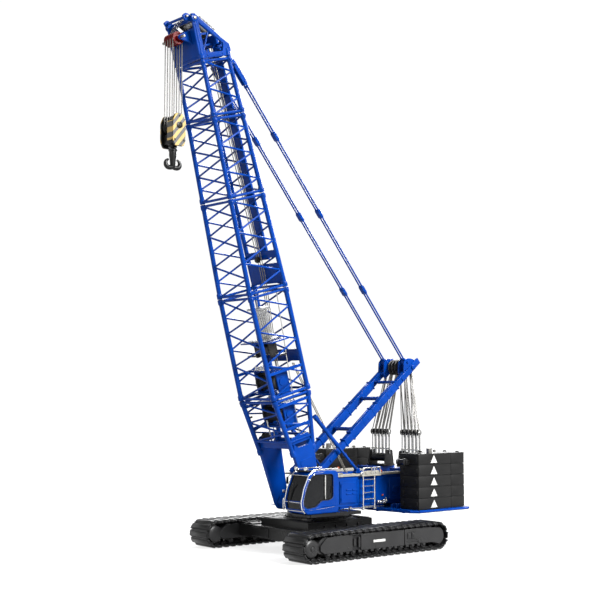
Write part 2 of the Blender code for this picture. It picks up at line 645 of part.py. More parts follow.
mast = pivot("mast_pin", MAST_PIN_X, MAST_PIN_Z, MAST_ANGLE - 90)
stages = ((-4, 52, 3.6, 3.2), (48, 64, 5.8, 3.8), (60, 104, 5.0, 3.6), (100, 116, 6.0, 3.8), (112, 152, 4.6, 3.6), (148, 194, 3.8, 3.2))
mast_solids = []
for start, end, deep, wide in stages:
    mast_solids += both(
        box(-deep * MM, deep * MM, MAST_LEG_Y - wide * MM, MAST_LEG_Y + wide * MM, start * MM, end * MM)
    )
for z, radius in ((72, 2.2), (126, 2.2), (156, 1.8)):
    mast_solids.append(disc(0, z * MM, -MAST_LEG_Y, MAST_LEG_Y, radius * MM, 10))
mast_solids.append(disc(0, 0, -MAST_LEG_Y, MAST_LEG_Y, 2.0 * MM, 12))
mast_solids.append(disc(0, MAST_SHEAVE_Z, -MAST_LEG_Y, MAST_LEG_Y, 2.4 * MM, 12))
ear = [(-2, 168), (4, 172), (12.6, 178), (12.6, 186), (6, 192), (-2, 190)]
mast_solids += both(prism(scaled(ear), 20.0 * MM, 21.8 * MM))
mast_solids += both(prism(scaled(ear), 11.4 * MM, 13.2 * MM))
mast_solids += both(box(-2 * MM, 2 * MM, 11.6 * MM, MAST_LEG_Y, 169 * MM, 172 * MM))
mast_solids += both(disc(MAST_PENDANT_X, MAST_PENDANT_Z, 11.8 * MM, 21.4 * MM, PENDANT_PIN_RADIUS, 14))
node("mast", "blue", mast_solids, mast)
mast_sheaves = [disc(0, MAST_SHEAVE_Z, y * MM - 1.4 * MM, y * MM + 1.4 * MM, 9 * MM, 18) for y in (-7.5, -2.5, 2.5, 7.5)]
mast_sheaves.append(disc(0, MAST_SHEAVE_Z, -10.4 * MM, 10.4 * MM, 4.4 * MM, 12))
node("mast_sheaves", "black", mast_sheaves, mast, cuts=[disc(0, MAST_SHEAVE_Z, -20 * MM, 20 * MM, 2.7 * MM, 12)])

# Pendants from the mast head to the boom head

lean = math.radians(90 - BOOM_ANGLE)
top = Vector(
    (
        BOOM_PIN_X + PENDANT_TOP_X * math.cos(lean) + PENDANT_TOP_Z * math.sin(lean),
        0,
        BOOM_PIN_Z - PENDANT_TOP_X * math.sin(lean) + PENDANT_TOP_Z * math.cos(lean),
    )
)
back = math.radians(MAST_ANGLE - 90)
low = Vector(
    (
        MAST_PIN_X + MAST_PENDANT_X * math.cos(back) + MAST_PENDANT_Z * math.sin(back),
        0,
        MAST_PIN_Z - MAST_PENDANT_X * math.sin(back) + MAST_PENDANT_Z * math.cos(back),
    )
)
run = top - low
pendant_lean = math.degrees(math.atan2(run.x, run.z))
reach = run.length
for side, label in ((1, "left"), (-1, "right")):
    frame = pivot(f"pendant_pin_{label}", low.x, low.z, pendant_lean, side * PENDANT_Y)
    solids = []
    for offset in (-PENDANT_ROD_OFFSET, PENDANT_ROD_OFFSET):
        solids.append(bar((0, offset, 2 * MM), (0, offset, reach - 20 * MM), PENDANT_ROD_RADIUS, 6))
    for z in (0, reach):
        solids.append(disc(0, z, -2.7 * MM, 2.7 * MM, PENDANT_EYE_RADIUS, 16))
    for share in (0.25, 0.5, 0.74):
        z = share * reach
        solids.append(box(-1.5 * MM, 1.5 * MM, -2.8 * MM, 2.8 * MM, z - 3.4 * MM, z + 3.4 * MM))
    solids.append(box(-2 * MM, 2 * MM, -2.8 * MM, 2.8 * MM, reach - 42 * MM, reach - 16 * MM))
    solids.append(box(-1.3 * MM, 1.3 * MM, -2.4 * MM, 2.4 * MM, reach - 20 * MM, reach - 2 * MM))
    pins = [disc(0, z, -6 * MM, 6 * MM, PENDANT_PIN_RADIUS + GAP, 14) for z in (0, reach)]
    node(f"pendant_{label}", "blue", solids, frame, cuts=pins)

# Hook: rope falls and block hang plumb from the head sheaves, and the hook turns under them

axle_x = BOOM_PIN_X + HEAD_SHEAVE_X * math.cos(lean) + HEAD_SHEAVE_Z * math.sin(lean)
axle_z = BOOM_PIN_Z - HEAD_SHEAVE_X * math.sin(lean) + HEAD_SHEAVE_Z * math.cos(lean)
hang = pivot("hook_hang", axle_x, axle_z, 0)


def hung(z):
    return z - axle_z


falls = [box(-5.6 * MM, 5.6 * MM, -8.6 * MM, 8.6 * MM, hung(449.3 * MM), hung(451.8 * MM))]
for x in (-4.6 * MM, 4.6 * MM):
    for k in range(FALL_COUNT):
        y = (k - (FALL_COUNT - 1) / 2) * HEAD_SHEAVE_PITCH
        top_z = -math.sqrt(HEAD_SHEAVE_RADIUS**2 - (abs(x) - FALL_RADIUS) ** 2) - GAP
        falls.append(bar((x, y, hung(450 * MM)), (x, y, top_z), FALL_RADIUS, 5))
node("hoist_rope_falls", "silver", falls, hang)
block_outline = [(-6, 422), (-8, 428), (-8, 446), (-5, 453), (5, 453), (8, 446), (8, 428), (6, 422)]
cheek = [(x * MM, hung(z * MM)) for x, z in block_outline]
block = both(prism(cheek, 9.6 * MM, BLOCK_HALF_WIDTH))
block.append(box(-5 * MM, 5 * MM, -10 * MM, 10 * MM, hung(424 * MM), hung(434 * MM)))
block.append(disc(0, hung(442 * MM), -11 * MM, 11 * MM, 2 * MM, 14))
for k in range(FALL_COUNT):
    y = (k - (FALL_COUNT - 1) / 2) * HEAD_SHEAVE_PITCH
    block.append(disc(0, hung(442 * MM), y - 1.5 * MM, y + 1.5 * MM, 7 * MM, 16))
block.append(sweep(((0, 0, hung(420 * MM)), (0, 0, hung(426 * MM))), (4.4 * MM, 4.4 * MM), 16))
node("hook_block", "black", block, hang)
horn = []
for k in range(9):
    angle = math.radians(-90 + k * 19)
    horn.append((6.2 * MM + 6.0 * MM * math.cos(angle), 0, hung(405.4 * MM) + 6.0 * MM * math.sin(angle)))
horn = [(-1 * MM, 0, hung(400.6 * MM)), (3 * MM, 0, hung(399.8 * MM)), *horn]
widths = [3.0, 3.0, 3.0, 2.9, 2.8, 2.6, 2.4, 2.1, 1.8, 1.5, 1.2]
right_horn = sweep(horn, [w * MM for w in widths], 10)
left_horn = ([(-x, y, z) for x, y, z in right_horn[0]], [face[::-1] for face in right_horn[1]])
shank = sweep(
    ((0, 0, hung(399 * MM)), (0, 0, hung(408 * MM)), (0, 0, hung(412 * MM)), (0, 0, hung(419.7 * MM))),
    (2.6 * MM, 3.2 * MM, 3.8 * MM, 3.8 * MM),
    14,
)
node("hook", "black", [shank, right_horn, left_horn], hang)
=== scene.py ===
"""Finished model of a scale crawler crane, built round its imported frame."""
import json
import math

import bmesh
import bpy
from mathutils import Matrix, Vector

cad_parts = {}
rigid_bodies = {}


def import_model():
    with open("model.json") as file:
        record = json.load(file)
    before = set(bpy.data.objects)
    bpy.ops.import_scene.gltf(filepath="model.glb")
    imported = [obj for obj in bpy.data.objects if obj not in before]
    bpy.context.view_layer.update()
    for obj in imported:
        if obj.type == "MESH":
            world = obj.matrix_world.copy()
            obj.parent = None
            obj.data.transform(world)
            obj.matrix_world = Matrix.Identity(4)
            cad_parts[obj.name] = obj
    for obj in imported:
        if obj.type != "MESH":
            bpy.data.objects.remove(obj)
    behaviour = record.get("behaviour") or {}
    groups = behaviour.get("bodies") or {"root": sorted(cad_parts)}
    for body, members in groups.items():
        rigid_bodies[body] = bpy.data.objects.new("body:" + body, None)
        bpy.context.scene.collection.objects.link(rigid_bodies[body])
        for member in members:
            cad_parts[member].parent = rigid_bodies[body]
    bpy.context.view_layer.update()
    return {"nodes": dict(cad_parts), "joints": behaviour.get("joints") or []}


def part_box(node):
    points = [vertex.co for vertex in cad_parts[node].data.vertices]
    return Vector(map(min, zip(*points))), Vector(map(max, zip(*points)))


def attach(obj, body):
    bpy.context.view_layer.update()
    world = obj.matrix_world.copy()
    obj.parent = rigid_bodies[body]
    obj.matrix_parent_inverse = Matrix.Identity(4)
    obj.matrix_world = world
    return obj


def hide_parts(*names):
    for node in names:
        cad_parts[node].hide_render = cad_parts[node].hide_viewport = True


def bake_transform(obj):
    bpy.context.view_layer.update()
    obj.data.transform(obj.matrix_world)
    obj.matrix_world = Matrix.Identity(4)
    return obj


bl_info = {
    "name": "Crawler Crane Model",
    "version": (1, 0, 0),
    "blender": (4, 5, 0),
    "location": "View3D > Sidebar > Crane",
    "description": "Builds the detailed pieces and finishes of a scale lattice-boom crawler crane",
    "category": "Add Mesh",
}

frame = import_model()
NODES = frame["nodes"]
JOINTS = {joint["name"]: joint for joint in frame["joints"]}
SIDES = ((1, "left"), (-1, "right"))
SMOOTH_ANGLE = math.radians(38)
SHARP_ANGLE = math.radians(40)

# The crane's own frames, lengths in millimetres: z runs along the boom, mast and pendants
BOOM_LEAN, MAST_LEAN = 15.5, -51.0
PENDANT_EYE = (-18.6, 0, 493.0)
STRIPE_PITCH = 0.0088


def standing(joint, lean=0.0):
    """The frame whose origin is a joint, its z turned from vertical towards +x by lean degrees."""
    turn = Matrix.Rotation(math.radians(lean), 4, "Y")
    return Matrix.Translation(JOINTS[joint]["pos_m"]) @ turn @ Matrix.Scale(0.001, 4)


UPPER = Matrix.Translation((JOINTS["slew"]["pos_m"][0], 0, 0)) @ Matrix.Scale(0.001, 4)
BOOM = standing("boom_luff", BOOM_LEAN)
MAST = standing("mast_luff", MAST_LEAN)
HUNG = Matrix.Translation((JOINTS["hook_hang"]["pos_m"][0], 0, 0)) @ Matrix.Scale(0.001, 4)


def pendant_frame(side):
    """The frame of a pendant: z runs from its pin on the mast to its pin on the boom head."""
    joint = JOINTS[f"pendant_{side}_pin"]["pos_m"]
    run = BOOM @ Vector(PENDANT_EYE) - Vector((joint[0], 0, joint[2]))
    return standing(f"pendant_{side}_pin", math.degrees(math.atan2(run.x, run.z))), run.length * 1000


class Shape:
    """A mesh being made in one of the crane's frames. paint is the material slot of what is added next."""

    def __init__(self, place=UPPER):
        self.place = place
        self.verts, self.faces, self.paints = [], [], []
        self.paint = 0

    def add(self, verts, faces):
        start = len(self.verts)
        self.verts += [Vector(v) for v in verts]
        self.faces += [tuple(start + i for i in face) for face in faces]
        self.paints += [self.paint] * len(faces)
        return self

    def solid(self, verts, faces, chamfer=0.0, segments=1):
        """A closed solid facing out, with its sharp edges chamfered."""
        work = bmesh.new()
        corners = [work.verts.new(v) for v in verts]
        for face in faces:
            work.faces.new([corners[i] for i in face])
        bmesh.ops.recalc_face_normals(work, faces=work.faces)
        if chamfer:
            edges = [e for e in work.edges if len(e.link_faces) == 2 and e.calc_face_angle() > SHARP_ANGLE]
            bmesh.ops.bevel(
                work, geom=edges, offset=chamfer, segments=segments, profile=0.5, affect="EDGES", clamp_overlap=True
            )
        work.verts.index_update()
        made = [v.co.copy() for v in work.verts], [[v.index for v in f.verts] for f in work.faces]
        work.free()
        return self.add(*made)

    def box(self, x0, x1, y0, y1, z0, z1, chamfer=0.25, segments=1):
        (x0, x1), (y0, y1) = sorted((x0, x1)), sorted((y0, y1))
        verts = [(x, y, z) for z in (z0, z1) for x, y in rect(x0, x1, y0, y1)]
        faces = [(3, 2, 1, 0), (4, 5, 6, 7), (0, 1, 5, 4), (1, 2, 6, 5), (2, 3, 7, 6), (3, 0, 4, 7)]
        return self.solid(verts, faces, chamfer, segments)

    def plate(self, outline, low, high, axis="y", chamfer=0.25, segments=1):
        """An outline carried between two levels of an axis. Along y it is given as (x, z), along z as (x, y)
        and along x as (y, z)."""
        lay = {
            "y": lambda a, b, level: (a, level, b),
            "z": lambda a, b, level: (a, b, level),
            "x": lambda a, b, level: (level, a, b),
        }[axis]
        count = len(outline)
        verts = [lay(a, b, level) for level in sorted((low, high)) for a, b in outline]
        faces = [tuple(range(count)), tuple(range(count, 2 * count))]
        faces += [(i, (i + 1) % count, count + (i + 1) % count, count + i) for i in range(count)]
        return self.solid(verts, faces, chamfer, segments)

    def tube(self, points, radius, sides=12, closed=False, lobes=None):
        """A round bar along a line of points. lobes = (depth, turns for each mm) twists strands into it."""
        points = [Vector(p) for p in points]
        radii = radius if hasattr(radius, "__len__") else [radius] * len(points)
        count, rings, walked = len(points), [], 0.0
        ahead = (points[1] - points[0]).normalized()
        across = ahead.orthogonal().normalized()
        for i, point in enumerate(points):
            last, following = points[i - 1], points[(i + 1) % count]
            if not closed:
                last = points[max(i - 1, 0)]
                following = points[min(i + 1, count - 1)]
            ahead = (following - last).normalized()
            across = (across - ahead * across.dot(ahead)).normalized()
            up = ahead.cross(across)
            walked += (point - points[i - 1]).length if i else 0
            for k in range(sides):
                angle = 2 * math.pi * k / sides
                reach = radii[i]
                if lobes:
                    reach *= 1 - lobes[0] * (k % 2)
                    angle += 2 * math.pi * lobes[1] * walked
                rings.append(point + reach * (math.cos(angle) * across + math.sin(angle) * up))
        faces = [] if closed else [tuple(range(sides))[::-1], tuple(range(len(rings) - sides, len(rings)))]
        for i in range(count if closed else count - 1):
            for k in range(sides):
                a, b = i * sides + k, i * sides + (k + 1) % sides
                c, d = (b + sides) % len(rings), (a + sides) % len(rings)
                faces.append((a, b, c, d))
        return self.add(rings, faces)

    def rope(self, points, radius, pitch=5.0):
        """A laid rope: six strands turning once every pitch along a line of points."""
        line = [Vector(p) for p in points]
        fine = [line[0]]
        for a, b in zip(line, line[1:]):
            steps = max(1, round((b - a).length / (pitch / 6)))
            fine += [a.lerp(b, k / steps) for k in range(1, steps + 1)]
        return self.tube(fine, radius, 12, lobes=(0.2, 1 / pitch))

    def turned(self, profile, centre, axis="y", sides=28):
        """A profile of (radius, distance along the axis) turned round it, closed at both ends."""
        x, y, z = centre
        verts = []
        for radius, along in profile:
            for k in range(sides):
                c, s = math.cos(2 * math.pi * k / sides), math.sin(2 * math.pi * k / sides)
                turned = {"x": (along, radius * c, radius * s), "y": (radius * s, along, radius * c)}
                a, b, c2 = turned.get(axis, (radius * c, radius * s, along))
                verts.append((x + a, y + b, z + c2))
        faces = [tuple(range(sides))[::-1], tuple(range(len(verts) - sides, len(verts)))]
        for i in range(len(profile) - 1):
            for k in range(sides):
                a, b = i * sides + k, i * sides + (k + 1) % sides
                faces.append((a, b, b + sides, a + sides))
        return self.solid(verts, faces)

    def bolt(self, centre, axis="y", radius=0.8, proud=0.6):
        """A six-sided bolt head on its washer. proud is negative on a face that looks the other way."""
        flat = ((radius * 1.35, 0), (radius * 1.35, proud * 0.3))
        self.turned(flat, centre, axis, 14)
        head = ((radius, proud * 0.3), (radius, proud * 0.85), (radius * 0.8, proud))
        return self.turned(head, centre, axis, 6)

    def sheave(self, x, y, z, radius, width=3.0, sides=32):
        """A grooved rope sheave about a y axis."""
        half = width / 2
        web = radius * 0.62
        profile = (
            (1.0, -half), (radius * 0.34, -half), (radius * 0.36, -half * 0.5), (web, -half * 0.5),
            (web + 0.4, -half), (radius, -half), (radius, -half * 0.75), (radius * 0.84, -half * 0.12),
            (radius * 0.84, half * 0.12), (radius, half * 0.75), (radius, half), (web + 0.4, half),
            (web, half * 0.5), (radius * 0.36, half * 0.5), (radius * 0.34, half), (1.0, half),
        )
        return self.turned(profile, (x, y, z), "y", sides)

    def both(self, build, *args, **kwargs):
        """Builds something on the left and its mirror image on the right."""
        start_v, start_f = len(self.verts), len(self.faces)
        build(*args, **kwargs)
        shift = len(self.verts) - start_v
        new_verts, new_faces = self.verts[start_v:], self.faces[start_f:]
        self.paints += self.paints[start_f:]
        self.verts += [Vector((v.x, -v.y, v.z)) for v in new_verts]
        self.faces += [tuple(i + shift for i in face)[::-1] for face in new_faces]
        return self

    def paste(self, other, place):
        """A copy of another shape, carried by a matrix that doesn't mirror."""
        start = len(self.verts)
        self.verts += [place @ v for v in other.verts]
        self.faces += [tuple(start + i for i in face) for face in other.faces]
        self.paints += other.paints
        return self

    def mesh(self, name, finishes=()):
        made = bpy.data.meshes.new(name)
        made.from_pydata([self.place @ v for v in self.verts], [], self.faces)
        for finish in finishes:
            made.materials.append(finish)
        made.polygons.foreach_set("material_index", self.paints)
        made.shade_smooth()
        made.set_sharp_from_angle(angle=SMOOTH_ANGLE)
        made.update()
        return made

    def cut(self, *cutters):
        """Takes the cutters out of the shape."""
        body = bpy.data.objects.new("whole", self.mesh("whole"))
        bpy.context.scene.collection.objects.link(body)
        extra = []
        for cutter in cutters:
            tool = bpy.data.objects.new("cutter", cutter.mesh("cutter"))
            bpy.context.scene.collection.objects.link(tool)
            modifier = body.modifiers.new("cut", "BOOLEAN")
            modifier.operation, modifier.solver, modifier.object = "DIFFERENCE", "EXACT", tool
            extra.append(tool)
        graph = bpy.context.evaluated_depsgraph_get()
        result = body.evaluated_get(graph).to_mesh()
        back = self.place.inverted()
        self.verts = [back @ v.co for v in result.vertices]
        self.faces = [tuple(p.vertices) for p in result.polygons]
        self.paints = [self.paint] * len(self.faces)
        for tool in [body, *extra]:
            bpy.data.objects.remove(tool)
        return self

    def piece(self, name, body, slot, *finishes, stands_for=()):
        """The finished piece, riding on a body of the crane."""
        made = bpy.data.objects.new(name, self.mesh(name, [FINISHES[f] for f in finishes]))
        bpy.context.scene.collection.objects.link(made)
        if isinstance(body, str):
            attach(made, body)
        if stands_for:
            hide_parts(*stands_for)
        return made


def rounded(points, radius, steps=5):
    """A line of points with its inner corners rounded."""
    points = [Vector(p) for p in points]
    line = [points[0]]
    for before, corner, after in zip(points, points[1:], points[2:]):
        start = corner + (before - corner).normalized() * radius
        end = corner + (after - corner).normalized() * radius
        for k in range(steps + 1):
            t = k / steps
            line.append(start.lerp(corner, t).lerp(corner.lerp(end, t), t))
    return [*line, points[-1]]


def soft_outline(points, radius, steps=4):
    """A closed outline of (a, b) points with every corner rounded."""
    count, line = len(points), []
    for i in range(count):
        before, corner, after = (Vector(points[(i + k) % count]) for k in (-1, 0, 1))
        reach = min(radius, (before - corner).length * 0.45, (after - corner).length * 0.45)
        start = corner + (before - corner).normalized() * reach
        end = corner + (after - corner).normalized() * reach
        for k in range(steps + 1):
            t = k / steps
            line.append(tuple(start.lerp(corner, t).lerp(corner.lerp(end, t), t)))
    return line


def rect(a0, a1, b0, b1):
    """The corners of a rectangle between two pairs of levels."""
    return [(a0, b0), (a1, b0), (a1, b1), (a0, b1)]


def soft_rect(a0, a1, b0, b1, radius):
    return soft_outline(rect(a0, a1, b0, b1), radius)


def pin(tip, radius, shoulder, end):
    """The profile of a pin from -end to end, which narrows to its tips beyond the shoulders."""
    return (tip, -end), (radius, -shoulder), (radius, shoulder), (tip, end)


def between(table, at):
    """Straight-line values between the (position, value) pairs of a table."""
    for (x0, v0), (x1, v1) in zip(table, table[1:]):
        if at <= x1:
            return v0 + (v1 - v0) * (at - x0) / (x1 - x0)
    return table[-1][1]


# Finishes

class Signal:
    """A shader socket that takes part in Python sums."""

    def __init__(self, tree, socket):
        self.tree, self.socket = tree, socket

    def math(self, operation, first, second):
        node = self.tree.nodes.new("ShaderNodeMath")
        node.operation = operation
        for socket, value in zip(node.inputs, (first, second)):
            if isinstance(value, Signal):
                self.tree.links.new(value.socket, socket)
            else:
                socket.default_value = value
        return Signal(self.tree, node.outputs[0])

    def __add__(self, other):
        return self.math("ADD", self, other)

    def __mul__(self, other):
        return self.math("MULTIPLY", self, other)

    def __rsub__(self, other):
        return self.math("SUBTRACT", other, self)

    def __gt__(self, other):
        return self.math("GREATER_THAN", self, other)

    __radd__, __rmul__ = __add__, __mul__


class Finish:
    """A material under construction: one Principled shader and the nodes behind its sockets."""

    def __init__(self, name, roughness=0.5, **constants):
        self.material = bpy.data.materials.new(name)
        self.material.use_nodes = True
        self.tree = self.material.node_tree
        self.shader = self.tree.nodes["Principled BSDF"]
        self.shader.inputs["Roughness"].default_value = roughness
        for socket, value in constants.items():
            self.shader.inputs[socket.replace("_", " ")].default_value = value
        FINISHES[name] = self.material

    def node(self, kind, settings=(), output=0, **sockets):
        """Any node: its settings first, then values or signals for its sockets by name (_ for a space)
        or, as in_0, by number."""
        node = self.tree.nodes.new(kind)
        for setting, value in dict(settings).items():
            if setting == "stops":
                for stop, (at, colour) in zip(node.color_ramp.elements, value):
                    stop.position, stop.color = at, colour
            else:
                setattr(node, setting, value)
        for socket, value in sockets.items():
            place = int(socket[3:]) if socket.startswith("in_") else socket.replace("_", " ")
            if isinstance(value, Signal):
                self.tree.links.new(value.socket, node.inputs[place])
            else:
                node.inputs[place].default_value = value
        return Signal(self.tree, node.outputs[output])

    def place(self, stretch=(1, 1, 1)):
        spot = self.node("ShaderNodeTexCoord", output="Object")
        return self.node("ShaderNodeMapping", Vector=spot, Scale=stretch)

    def noise(self, scale, detail):
        return self.node("ShaderNodeTexNoise", Vector=self.place(), Scale=scale, Detail=detail)

    def ramp(self, signal, low, high):
        """A signal spread so that low becomes 0 and high becomes 1."""
        return self.node("ShaderNodeMapRange", Value=signal, From_Min=low, From_Max=high)

    def mix(self, factor, first, second):
        return self.node("ShaderNodeMix", {"data_type": "RGBA"}, 2, in_0=factor, in_6=first, in_7=second)

    def edges(self, radius, low, high):
        """1 along sharp edges and 0 on flat faces."""
        soft = self.node("ShaderNodeBevel", {"samples": 4}, Radius=radius)
        true = self.node("ShaderNodeNewGeometry", output="Normal")
        alike = self.node("ShaderNodeVectorMath", {"operation": "DOT_PRODUCT"}, "Value", in_0=soft, in_1=true)
        return self.ramp(1 - alike, low, high)

    def feed(self, **sockets):
        for socket, signal in sockets.items():
            self.tree.links.new(signal.socket, self.shader.inputs[socket.replace("_", " ")])
        return self

    def bumps(self, height, distance):
        return self.feed(Normal=self.node("ShaderNodeBump", Height=height, Distance=distance, Strength=1.0))


FINISHES = {}


def rgba(colour, shade=1.0):
    return (*(min(1, c * shade) for c in colour[:3]), 1)


def coated(name, colour, roughness, wear_and_highlight=0.5, grain=0.00002, coat=0.0, worn_and_highlit=1.6, metal=0.0, gloss=0.2):
    """A sprayed coat: soft drifts of tone, a fine orange peel, and lighter colour along the edges, partly paint worn
    thin and partly a painted highlight.
    """
    finish = Finish(name, roughness, Metallic=metal, Coat_Weight=coat, Coat_Roughness=0.18, Specular_IOR_Level=gloss)
    drift = finish.noise(45, 4)
    speck = finish.noise(900, 2)
    tone = finish.mix(finish.ramp(drift, 0.35, 0.68), rgba(colour, 0.86), rgba(colour, 1.1))
    # The edge mask lightens sharp edges: partly wear, partly a painted highlight.
    worn_highlit_edge = finish.edges(0.0006, 0.02, 0.3) * finish.ramp(drift + speck * 0.5, 0.45, 0.95) * wear_and_highlight
    finish.feed(Base_Color=finish.mix(worn_highlit_edge, tone, rgba([c * worn_and_highlit + 0.004 for c in colour])))
    finish.feed(Roughness=finish.ramp(drift * 0.6 + speck * 0.4, -0.6, 1.8) * (roughness * 1.9))
    return finish.bumps(finish.noise(1500, 2) + drift * 0.5, grain)


def metal(name, colour, roughness):
    """Bright or brushed metal with drawn streaks and dull patches."""
    finish = Finish(name, roughness, Metallic=0.92)
    streak = finish.noise(700, 3)
    dull = finish.noise(120, 3)
    finish.feed(Base_Color=finish.mix(finish.ramp(streak, 0.3, 0.7), rgba(colour, 0.72), rgba(colour, 1.08)))
    finish.feed(Roughness=finish.ramp(dull * 0.5 + streak * 0.5, -0.5, 1.5) * (roughness * 2))
    return finish.bumps(streak, 0.00003)


def make_finishes(paints):
    coated("crane_blue", paints.blue, 0.24, wear_and_highlight=0.45, worn_and_highlit=1.8, gloss=0.07)
    coated("undercarriage_black", rgba(paints.black, 0.75), 0.36, wear_and_highlight=0.6, worn_and_highlit=3.0, gloss=0.2)
    # The shoes' edges lighten strongly: partly wear, partly a painted highlight.
    coated("track_iron", rgba(paints.black, 1.1), 0.42, wear_and_highlight=0.8, worn_and_highlit=3.5, grain=0.00005, metal=0.1, gloss=0.3)
    coated("side_frame_grey", rgba(paints.black, 1.7), 0.42, wear_and_highlight=0.4, worn_and_highlit=1.8, gloss=0.25)
    coated("counterweight_grey", rgba(paints.counterweight, 0.85), 0.55, wear_and_highlight=0.2, worn_and_highlit=1.5, grain=0.00004, gloss=0.1)
    coated("sheave_red", paints.red, 0.35, wear_and_highlight=0.4, worn_and_highlit=1.6, gloss=0.12)
    coated("hazard_black", (0.0025, 0.0025, 0.0025), 0.4, wear_and_highlight=0.25, worn_and_highlit=2.5, gloss=0.15)
    coated("marking_white", (0.34, 0.34, 0.33), 0.45, wear_and_highlight=0.2, worn_and_highlit=1.0)
    coated("lamp_orange", (0.3, 0.05, 0.006), 0.2, wear_and_highlight=0.2, coat=0.3, worn_and_highlit=1.2)
    coated("seat_black", (0.008, 0.008, 0.009), 0.75, wear_and_highlight=0.1, grain=0.00008)
    coated("rubber_black_and_painted_shade", (0.003, 0.003, 0.0035), 0.6, wear_and_highlight=0.1, grain=0.00006)
    metal("bright_steel", (0.42, 0.42, 0.41), 0.26)
    metal("frame_silver", (0.6, 0.6, 0.58), 0.22)
    metal("rope_steel", (0.19, 0.185, 0.175), 0.45)
    metal("dark_steel", (0.03, 0.03, 0.031), 0.38)

    tread = Finish("deck_beige", 0.62)
    drift = tread.noise(70, 4)
    spots = tread.node(
        "ShaderNodeTexVoronoi", {"feature": "F1"}, "Distance", Vector=tread.place((1, 1, 0.2)), Scale=420,
        Randomness=0.1
    )
    raised = tread.ramp(spots, 0.34, 0.22)
    colour = tread.mix(tread.ramp(drift, 0.3, 0.7), rgba(paints.deck, 0.8), rgba(paints.deck, 1.05))
    tread.feed(Base_Color=tread.mix(raised * 0.35, colour, rgba(paints.deck, 1.35)))
    tread.feed(Roughness=0.7 - raised * 0.2 + drift * 0.1).bumps(raised, 0.00012)

    stripes = Finish("hazard_stripes", 0.38, Coat_Weight=0.25)
    spot = stripes.node("ShaderNodeSeparateXYZ", output="X", Vector=stripes.place())
    height = stripes.node("ShaderNodeSeparateXYZ", output="Z", Vector=stripes.place())
    along = (spot + height * 0.8) * (1 / STRIPE_PITCH)
    band = along.math("FRACT", along, 0.0) > 0.5
    drift = stripes.noise(90, 4)
    yellow = stripes.mix(stripes.ramp(drift, 0.3, 0.7), rgba(paints.yellow, 0.8), rgba(paints.yellow, 1.05))
    stripes.feed(Base_Color=stripes.mix(band, yellow, (0.004, 0.004, 0.004, 1)))
    stripes.feed(Roughness=0.32 + drift * 0.14).bumps(stripes.noise(1500, 2), 0.00002)

    glass = Finish("cab_glass", 0.05, Specular_IOR_Level=0.16)
    smoke = glass.noise(30, 2)
    glass.feed(Base_Color=glass.mix(smoke, (0.002, 0.0022, 0.003, 1), (0.005, 0.0055, 0.006, 1)))
    glass.feed(Roughness=0.04 + glass.noise(160, 2) * 0.05)
    glass.shader.inputs["Alpha"].default_value = 0.93


# The boom's lattice, as in the frame: half depths and half widths by height along the boom
JOINT_HEIGHTS = (122.0, 235.0, 338.0, 424.0, 484.0)
BAYS = (3, 3, 3, 2)
HALF_DEPTHS = ((0, 8.0), (62, 14.2), (122, 24.0), (235, 24.4), (484, 17.0))
HALF_WIDTHS = ((0, 28.3), (122, 28.3), (484, 22.2))
CORNERS = ((1, -1), (1, 1), (-1, 1), (-1, -1))
DRUM_HEIGHTS = (101.0, 137.0)
HEAD_AXLE, HEAD_TUBE = (31.0, 0, 510.0), (17, 0, 526)
SHEAVE_ROWS = (-6.9, -2.3, 2.3, 6.9)


def corner(front, left, z):
    return Vector((front * between(HALF_DEPTHS, z), left * between(HALF_WIDTHS, z), z))


def ring_of_bars(shape, z, radius):
    points = [corner(f, s, z) for f, s in CORNERS]
    for i in range(4):
        shape.tube((points[i], points[(i + 1) % 4]), radius, 10)


def lattice(shape, low, high, bays, radius):
    """The zigzag on each face, with a small gusset where its bars meet a chord."""
    step = (high - low) / bays
    for i in range(4):
        first, second = CORNERS[i], CORNERS[(i + 1) % 4]
        for k in range(bays):
            a = corner(*first, low + k * step)
            b = corner(*second, low + (k + 0.5) * step)
            c = corner(*first, low + (k + 1) * step)
            shape.tube((a, b), radius, 9)
            shape.tube((b, c), radius, 9)
            for node, other in ((b, a), (a, b) if k else (b, c)):
                inward = (other - node).normalized()
                shape.tube((node, node + inward * 3.6), (radius * 1.5, radius * 1.02), 9)


def chord_run(shape, low, high, radius):
    """Four chords with a machined sleeve at both ends."""
    for f, s in CORNERS:
        a, b = corner(f, s, low), corner(f, s, high)
        along = (b - a).normalized()
        shape.tube((a, b), radius, 18)
        for end, inward in ((a, along), (b, -along)):
            profile = (radius * 1.02, radius * 1.28, radius * 1.28, radius * 1.05)
            spots = [end + inward * d for d in (0.2, 0.5, 5.0, 6.2)]
            shape.tube(spots, profile, 18)


class PaintColours(bpy.types.PropertyGroup):
    """Colours of the crane's coats."""

    def swatch(label, colour, note):
        return bpy.props.FloatVectorProperty(
            name=label, description=note, subtype="COLOR", size=3, min=0, max=1, default=colour
        )

    blue: swatch("Blue", (0.0003, 0.023, 0.155), "Upper works, boom and mast")
    black: swatch("Black", (0.0058, 0.0058, 0.006), "Undercarriage and tracks")
    counterweight: swatch("Counterweight", (0.0075, 0.0075, 0.0075), "Counterweight slabs")
    red: swatch("Red", (0.075, 0.0012, 0.0014), "Boom head sheaves")
    deck: swatch("Deck", (0.17, 0.162, 0.138), "Deck strips")
    yellow: swatch("Yellow", (0.27, 0.17, 0.02), "Stripes on the hook block")


class CraneSizes(bpy.types.PropertyGroup):
    """Small sizes that a user may change, in millimetres on the model."""

    def length(label, value, low, high, note):
        return bpy.props.FloatProperty(name=label, description=note, default=value, min=low, max=high)

    brace_radius: length("Lattice bar", 1.05, 0.5, 2.0, "Radius of the boom's lattice bars, mm")
    chord_radius: length("Chord", 2.6, 1.5, 3.0, "Radius of the boom's chords, mm")
    rope_radius: length("Rope", 0.55, 0.2, 0.9, "Radius of the ropes, mm")
    shoe_count: bpy.props.IntProperty(name="Shoes", description="Shoes on each track", default=48, min=24, max=72)


